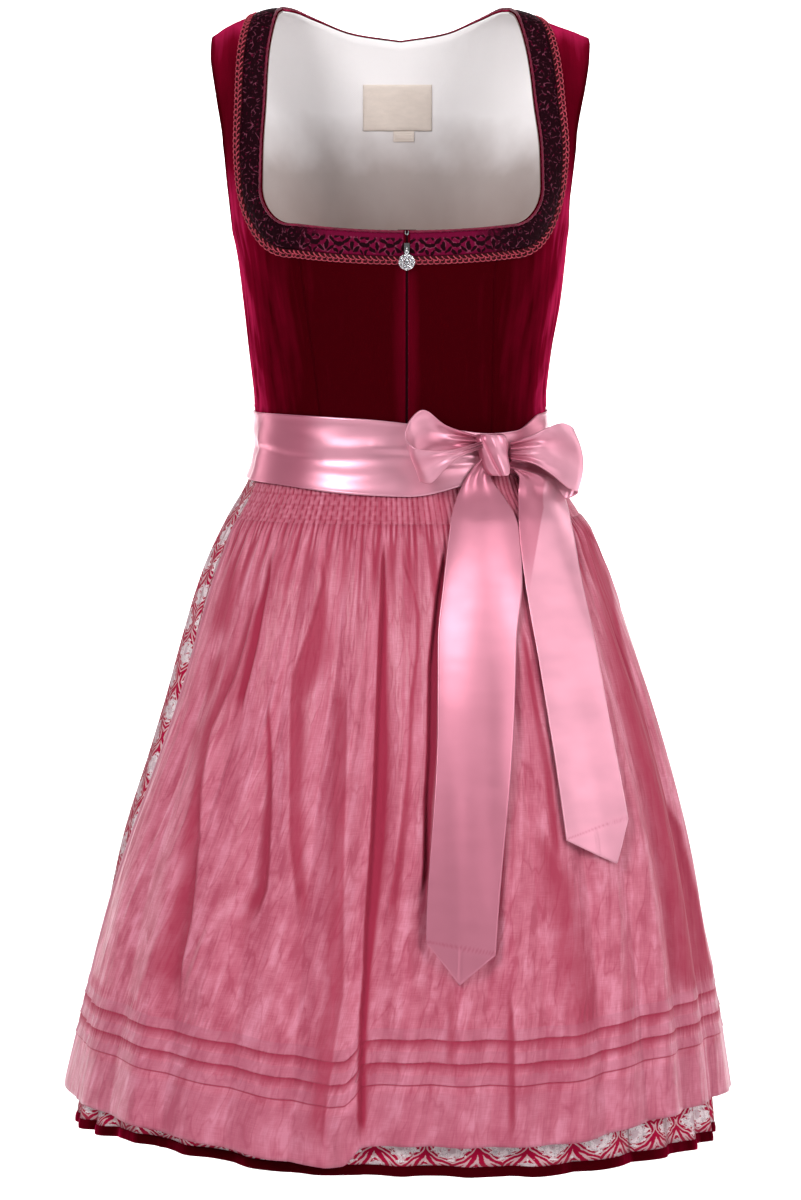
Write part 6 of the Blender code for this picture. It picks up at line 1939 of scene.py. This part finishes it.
def build_stage(sizes):
    """A pale floor that curves up into a backdrop, soft lights and the camera."""
    level = sizes.floor_level
    turn = np.linspace(0, pi / 2, 24)
    profile = [(FLOOR_START, level), (FLOOR_END, level)]
    profile += [(FLOOR_END + CURVE * sin(t), level + CURVE * (1 - cos(t))) for t in turn]
    profile.append((FLOOR_END + CURVE, WALL_TOP))
    count = 9
    points = [(x, y, z) for y, z in profile for x in np.linspace(-12, 12, count)]
    starts = [row * count + i for row in range(len(profile) - 1) for i in range(count - 1)]
    mesh = bpy.data.meshes.new("studio_floor")
    mesh.from_pydata(points, [], [(a, a + 1, a + 1 + count, a + count) for a in starts])
    paper = Finish("studio_paper", roughness=0.9, base_color=(0.93, 0.93, 0.93))
    paper.relief(paper.noise(0.004, 0.004, 2.0, "Object"), 0.0002, 0.2)
    add_piece("studio_floor", mesh, paper.material)

    add_light("key", (-2.0, -3.4, 1.5), (1.2, 1.6), 116, MIDDLE)
    add_light("fill", (2.4, -3.0, 0.8), (1.2, 2.0), 62, MIDDLE)
    add_light("side", (3.0, -0.8, 0.3), (1.2, 2.2), 18, MIDDLE)
    add_light("top", (0.3, -0.4, 2.6), (1.6, 1.2), 30, MIDDLE)
    for side in (-1, 1):
        add_light(f"backdrop_{side}", (side * 2.6, 1.4, 0.2), (1.6, 3.0), 190, (0, 5.5, -1.0))
        add_light(f"wall_{side}", (side * 4.0, 6.5, 1.0), (2.0, 3.0), 640, (0, 11.5, -0.8))
        add_light(f"behind_{side}", (side * 1.8, 4.0, 1.6), (1.6, 1.6), 6, MIDDLE)
        add_light(f"rim_{side}", (side * 2.6, 0.9, 0.4), (0.8, 2.4), 7, (0, 0, -0.4))
    world = bpy.data.worlds.new("studio")
    world.use_nodes = True
    sky = world.node_tree.nodes["Background"].inputs
    sky["Color"].default_value, sky["Strength"].default_value = (1, 1, 1, 1), 0.2
    scene = bpy.context.scene
    scene.world = world
    scene.view_settings.view_transform = "Standard"

    camera = bpy.data.cameras.new("camera")
    camera.lens = CAMERA_LENS
    camera.sensor_width = 36.0
    camera.clip_start, camera.clip_end = 0.1, 60.0
    eye = add_object("camera", camera)
    eye.location = CAMERA_PLACE
    eye.rotation_euler = (radians(90 - CAMERA_PITCH), 0, 0)
    scene.camera = eye


# ---- the add-on


def colour(name, description, default):
    return FloatVectorProperty(
        name=name, description=description, subtype="COLOR", size=3, min=0.0, max=1.0, default=default
    )


class DirndlColours(bpy.types.PropertyGroup):
    """Colours of the dirndl's cloths and trims."""

    # Velvet colours: a ramp of painted sheen, from deep where the cloth faces the eye through light to the
    # sheen colour where it turns away
    velvet_deep: colour("Velvet, deep", "Velvet where its pile lies away", (0.04, 0.0003, 0.002))
    velvet_light: colour("Velvet, light", "Velvet where its pile catches the light", (0.125, 0.0012, 0.01))
    velvet_sheen: colour("Velvet sheen", "Sheen at the turning edges", (0.36, 0.01, 0.058))
    satin: colour("Satin", "Sash and bow", (0.685, 0.297, 0.39))
    # Apron: the shaded and shining colours are painted shade and painted sheen in blotches, the fold shade is
    # painted shade in folds and recesses, and doubled is the cloth's own colour over its hems
    apron: colour("Apron", "Taffeta in the light", (0.47, 0.112, 0.172))
    apron_shade: colour("Apron, shaded", "Taffeta where it is crumpled", (0.37, 0.058, 0.105))
    apron_light: colour("Apron, shining", "Taffeta where it shines", (0.6, 0.205, 0.29))
    apron_fold_shade: colour("Apron, deep", "Taffeta in the folds", (0.29, 0.013, 0.045))
    apron_doubled: colour("Apron, doubled", "Taffeta over its own hems", (0.36, 0.105, 0.165))
    print_ground: colour("Print ground", "Pale figured ground of the skirt", (0.72, 0.61, 0.64))
    print_red: colour("Print red", "Trellis of the skirt", (0.34, 0.003, 0.034))
    print_flower: colour("Print flower", "Flowers of the skirt", (0.5, 0.36, 0.4))
    # Lining: the lower colour is painted shade deep inside the bodice
    lining: colour("Lining", "Lining above", (0.92, 0.88, 0.89))
    lining_shade: colour("Lining, low", "Lining deep inside", (0.31, 0.235, 0.215))
    label: colour("Label", "Blank label", (0.8, 0.69, 0.62))
    band_dark: colour("Band, dark", "Ground of the neck band", (0.01, 0.001, 0.003))
    band_wine: colour("Band, wine", "Lighter ground of the neck band", (0.12, 0.0025, 0.024))
    band_leaf: colour("Band leaf", "Leaves of the neck band", (0.01, 0.001, 0.003))
    band_outline: colour("Band outline", "Outline of the leaves", (0.24, 0.055, 0.1))
    binding: colour("Binding", "Satin along the neck edge", (0.2, 0.005, 0.034))
    gimp: colour("Gimp", "Rose scroll braid", (0.5, 0.066, 0.1))
    zip_tape: colour("Zip tape", "Tape behind the slit", (0.03, 0.002, 0.006))
    silver: colour("Silver", "Slider, hook and pendant", (0.82, 0.82, 0.84))


class DirndlSizes(bpy.types.PropertyGroup):
    """Sizes of the dirndl's finer parts."""

    pin_pleats: IntProperty(
        name="Pin pleats", description="Pleats across the apron's head", default=84, min=20, max=120
    )
    skirt_pleats: IntProperty(
        name="Skirt pleats", description="Pleats round the skirt", default=28, min=8, max=60
    )
    gimp_pitch: FloatProperty(
        name="Gimp pitch", description="Length of one loop of the braid",
        default=0.005, min=0.002, unit="LENGTH"
    )
    binding: FloatProperty(
        name="Binding", description="Thickness of the satin roll at the neck",
        default=0.0036, min=0.001, unit="LENGTH"
    )
    floor_level: FloatProperty(
        name="Floor", description="Height of the floor below the shoulders", default=-1.4, unit="LENGTH"
    )


class DIRNDL_OT_bodice(bpy.types.Operator):
    """Build the five velvet panels of the bodice."""

    bl_idname = "dirndl.bodice"
    bl_label = "Velvet bodice"

    def execute(self, context):
        build_bodice(context.scene.dirndl_colours)
        return {"FINISHED"}


class DIRNDL_OT_linings(bpy.types.Operator):
    """Build the linings and the blank label."""

    bl_idname = "dirndl.linings"
    bl_label = "Linings and label"

    def execute(self, context):
        build_linings(context.scene.dirndl_colours)
        build_label(context.scene.dirndl_colours)
        return {"FINISHED"}


class DIRNDL_OT_trims(bpy.types.Operator):
    """Build the neck band, its satin binding and the gimp braid."""

    bl_idname = "dirndl.trims"
    bl_label = "Neck trims"

    def execute(self, context):
        scene = context.scene
        build_neck_trim(scene.dirndl_colours, scene.dirndl_sizes)
        build_gimp(scene.dirndl_colours, scene.dirndl_sizes)
        return {"FINISHED"}


class DIRNDL_OT_zip(bpy.types.Operator):
    """Build the zip tape, the pendant of stones, and finish the slider and the hook."""

    bl_idname = "dirndl.zip"
    bl_label = "Zip and pendant"

    def execute(self, context):
        build_zip(context.scene.dirndl_colours)
        return {"FINISHED"}


class DIRNDL_OT_skirt(bpy.types.Operator):
    """Build the four panels of the pleated skirt and its velvet hem."""

    bl_idname = "dirndl.skirt"
    bl_label = "Skirt"

    def execute(self, context):
        build_skirt(context.scene.dirndl_colours, context.scene.dirndl_sizes)
        return {"FINISHED"}


class DIRNDL_OT_apron(bpy.types.Operator):
    """Build the apron with its pin-pleated head."""

    bl_idname = "dirndl.apron"
    bl_label = "Apron"

    def execute(self, context):
        build_apron(context.scene.dirndl_colours, context.scene.dirndl_sizes)
        return {"FINISHED"}


class DIRNDL_OT_sash(bpy.types.Operator):
    """Build the satin sash and its bow."""

    bl_idname = "dirndl.sash"
    bl_label = "Sash and bow"

    def execute(self, context):
        build_sash(context.scene.dirndl_colours)
        build_bow(context.scene.dirndl_colours)
        return {"FINISHED"}


class DIRNDL_OT_stage(bpy.types.Operator):
    """Build the floor, the lights and the camera."""

    bl_idname = "dirndl.stage"
    bl_label = "Stage"

    def execute(self, context):
        build_stage(context.scene.dirndl_sizes)
        return {"FINISHED"}


OPERATORS = (
    DIRNDL_OT_bodice,
    DIRNDL_OT_linings,
    DIRNDL_OT_trims,
    DIRNDL_OT_zip,
    DIRNDL_OT_skirt,
    DIRNDL_OT_apron,
    DIRNDL_OT_sash,
    DIRNDL_OT_stage,
)


class DIRNDL_PT_panel(bpy.types.Panel):
    """Lists the dirndl's sizes, colours and pieces."""

    bl_idname = "DIRNDL_PT_panel"
    bl_label = "Dirndl"
    bl_space_type = "VIEW_3D"
    bl_region_type = "UI"
    bl_category = "Dirndl"

    def draw(self, context):
        for group in (context.scene.dirndl_sizes, context.scene.dirndl_colours):
            for name in group.__annotations__:
                self.layout.prop(group, name)
        for operator in OPERATORS:
            self.layout.operator(operator.bl_idname)


CLASSES = (DirndlColours, DirndlSizes, *OPERATORS, DIRNDL_PT_panel)


def register():
    for item in CLASSES:
        bpy.utils.register_class(item)
    bpy.types.Scene.dirndl_colours = PointerProperty(type=DirndlColours)
    bpy.types.Scene.dirndl_sizes = PointerProperty(type=DirndlSizes)


def unregister():
    del bpy.types.Scene.dirndl_sizes
    del bpy.types.Scene.dirndl_colours
    for item in reversed(CLASSES):
        bpy.utils.unregister_class(item)


def main():
    register()
    bpy.ops.dirndl.bodice()
    bpy.ops.dirndl.linings()
    bpy.ops.dirndl.trims()
    bpy.ops.dirndl.zip()
    bpy.ops.dirndl.skirt()
    bpy.ops.dirndl.apron()
    bpy.ops.dirndl.sash()
    bpy.ops.dirndl.stage()


if __name__ == "__main__":
    main()
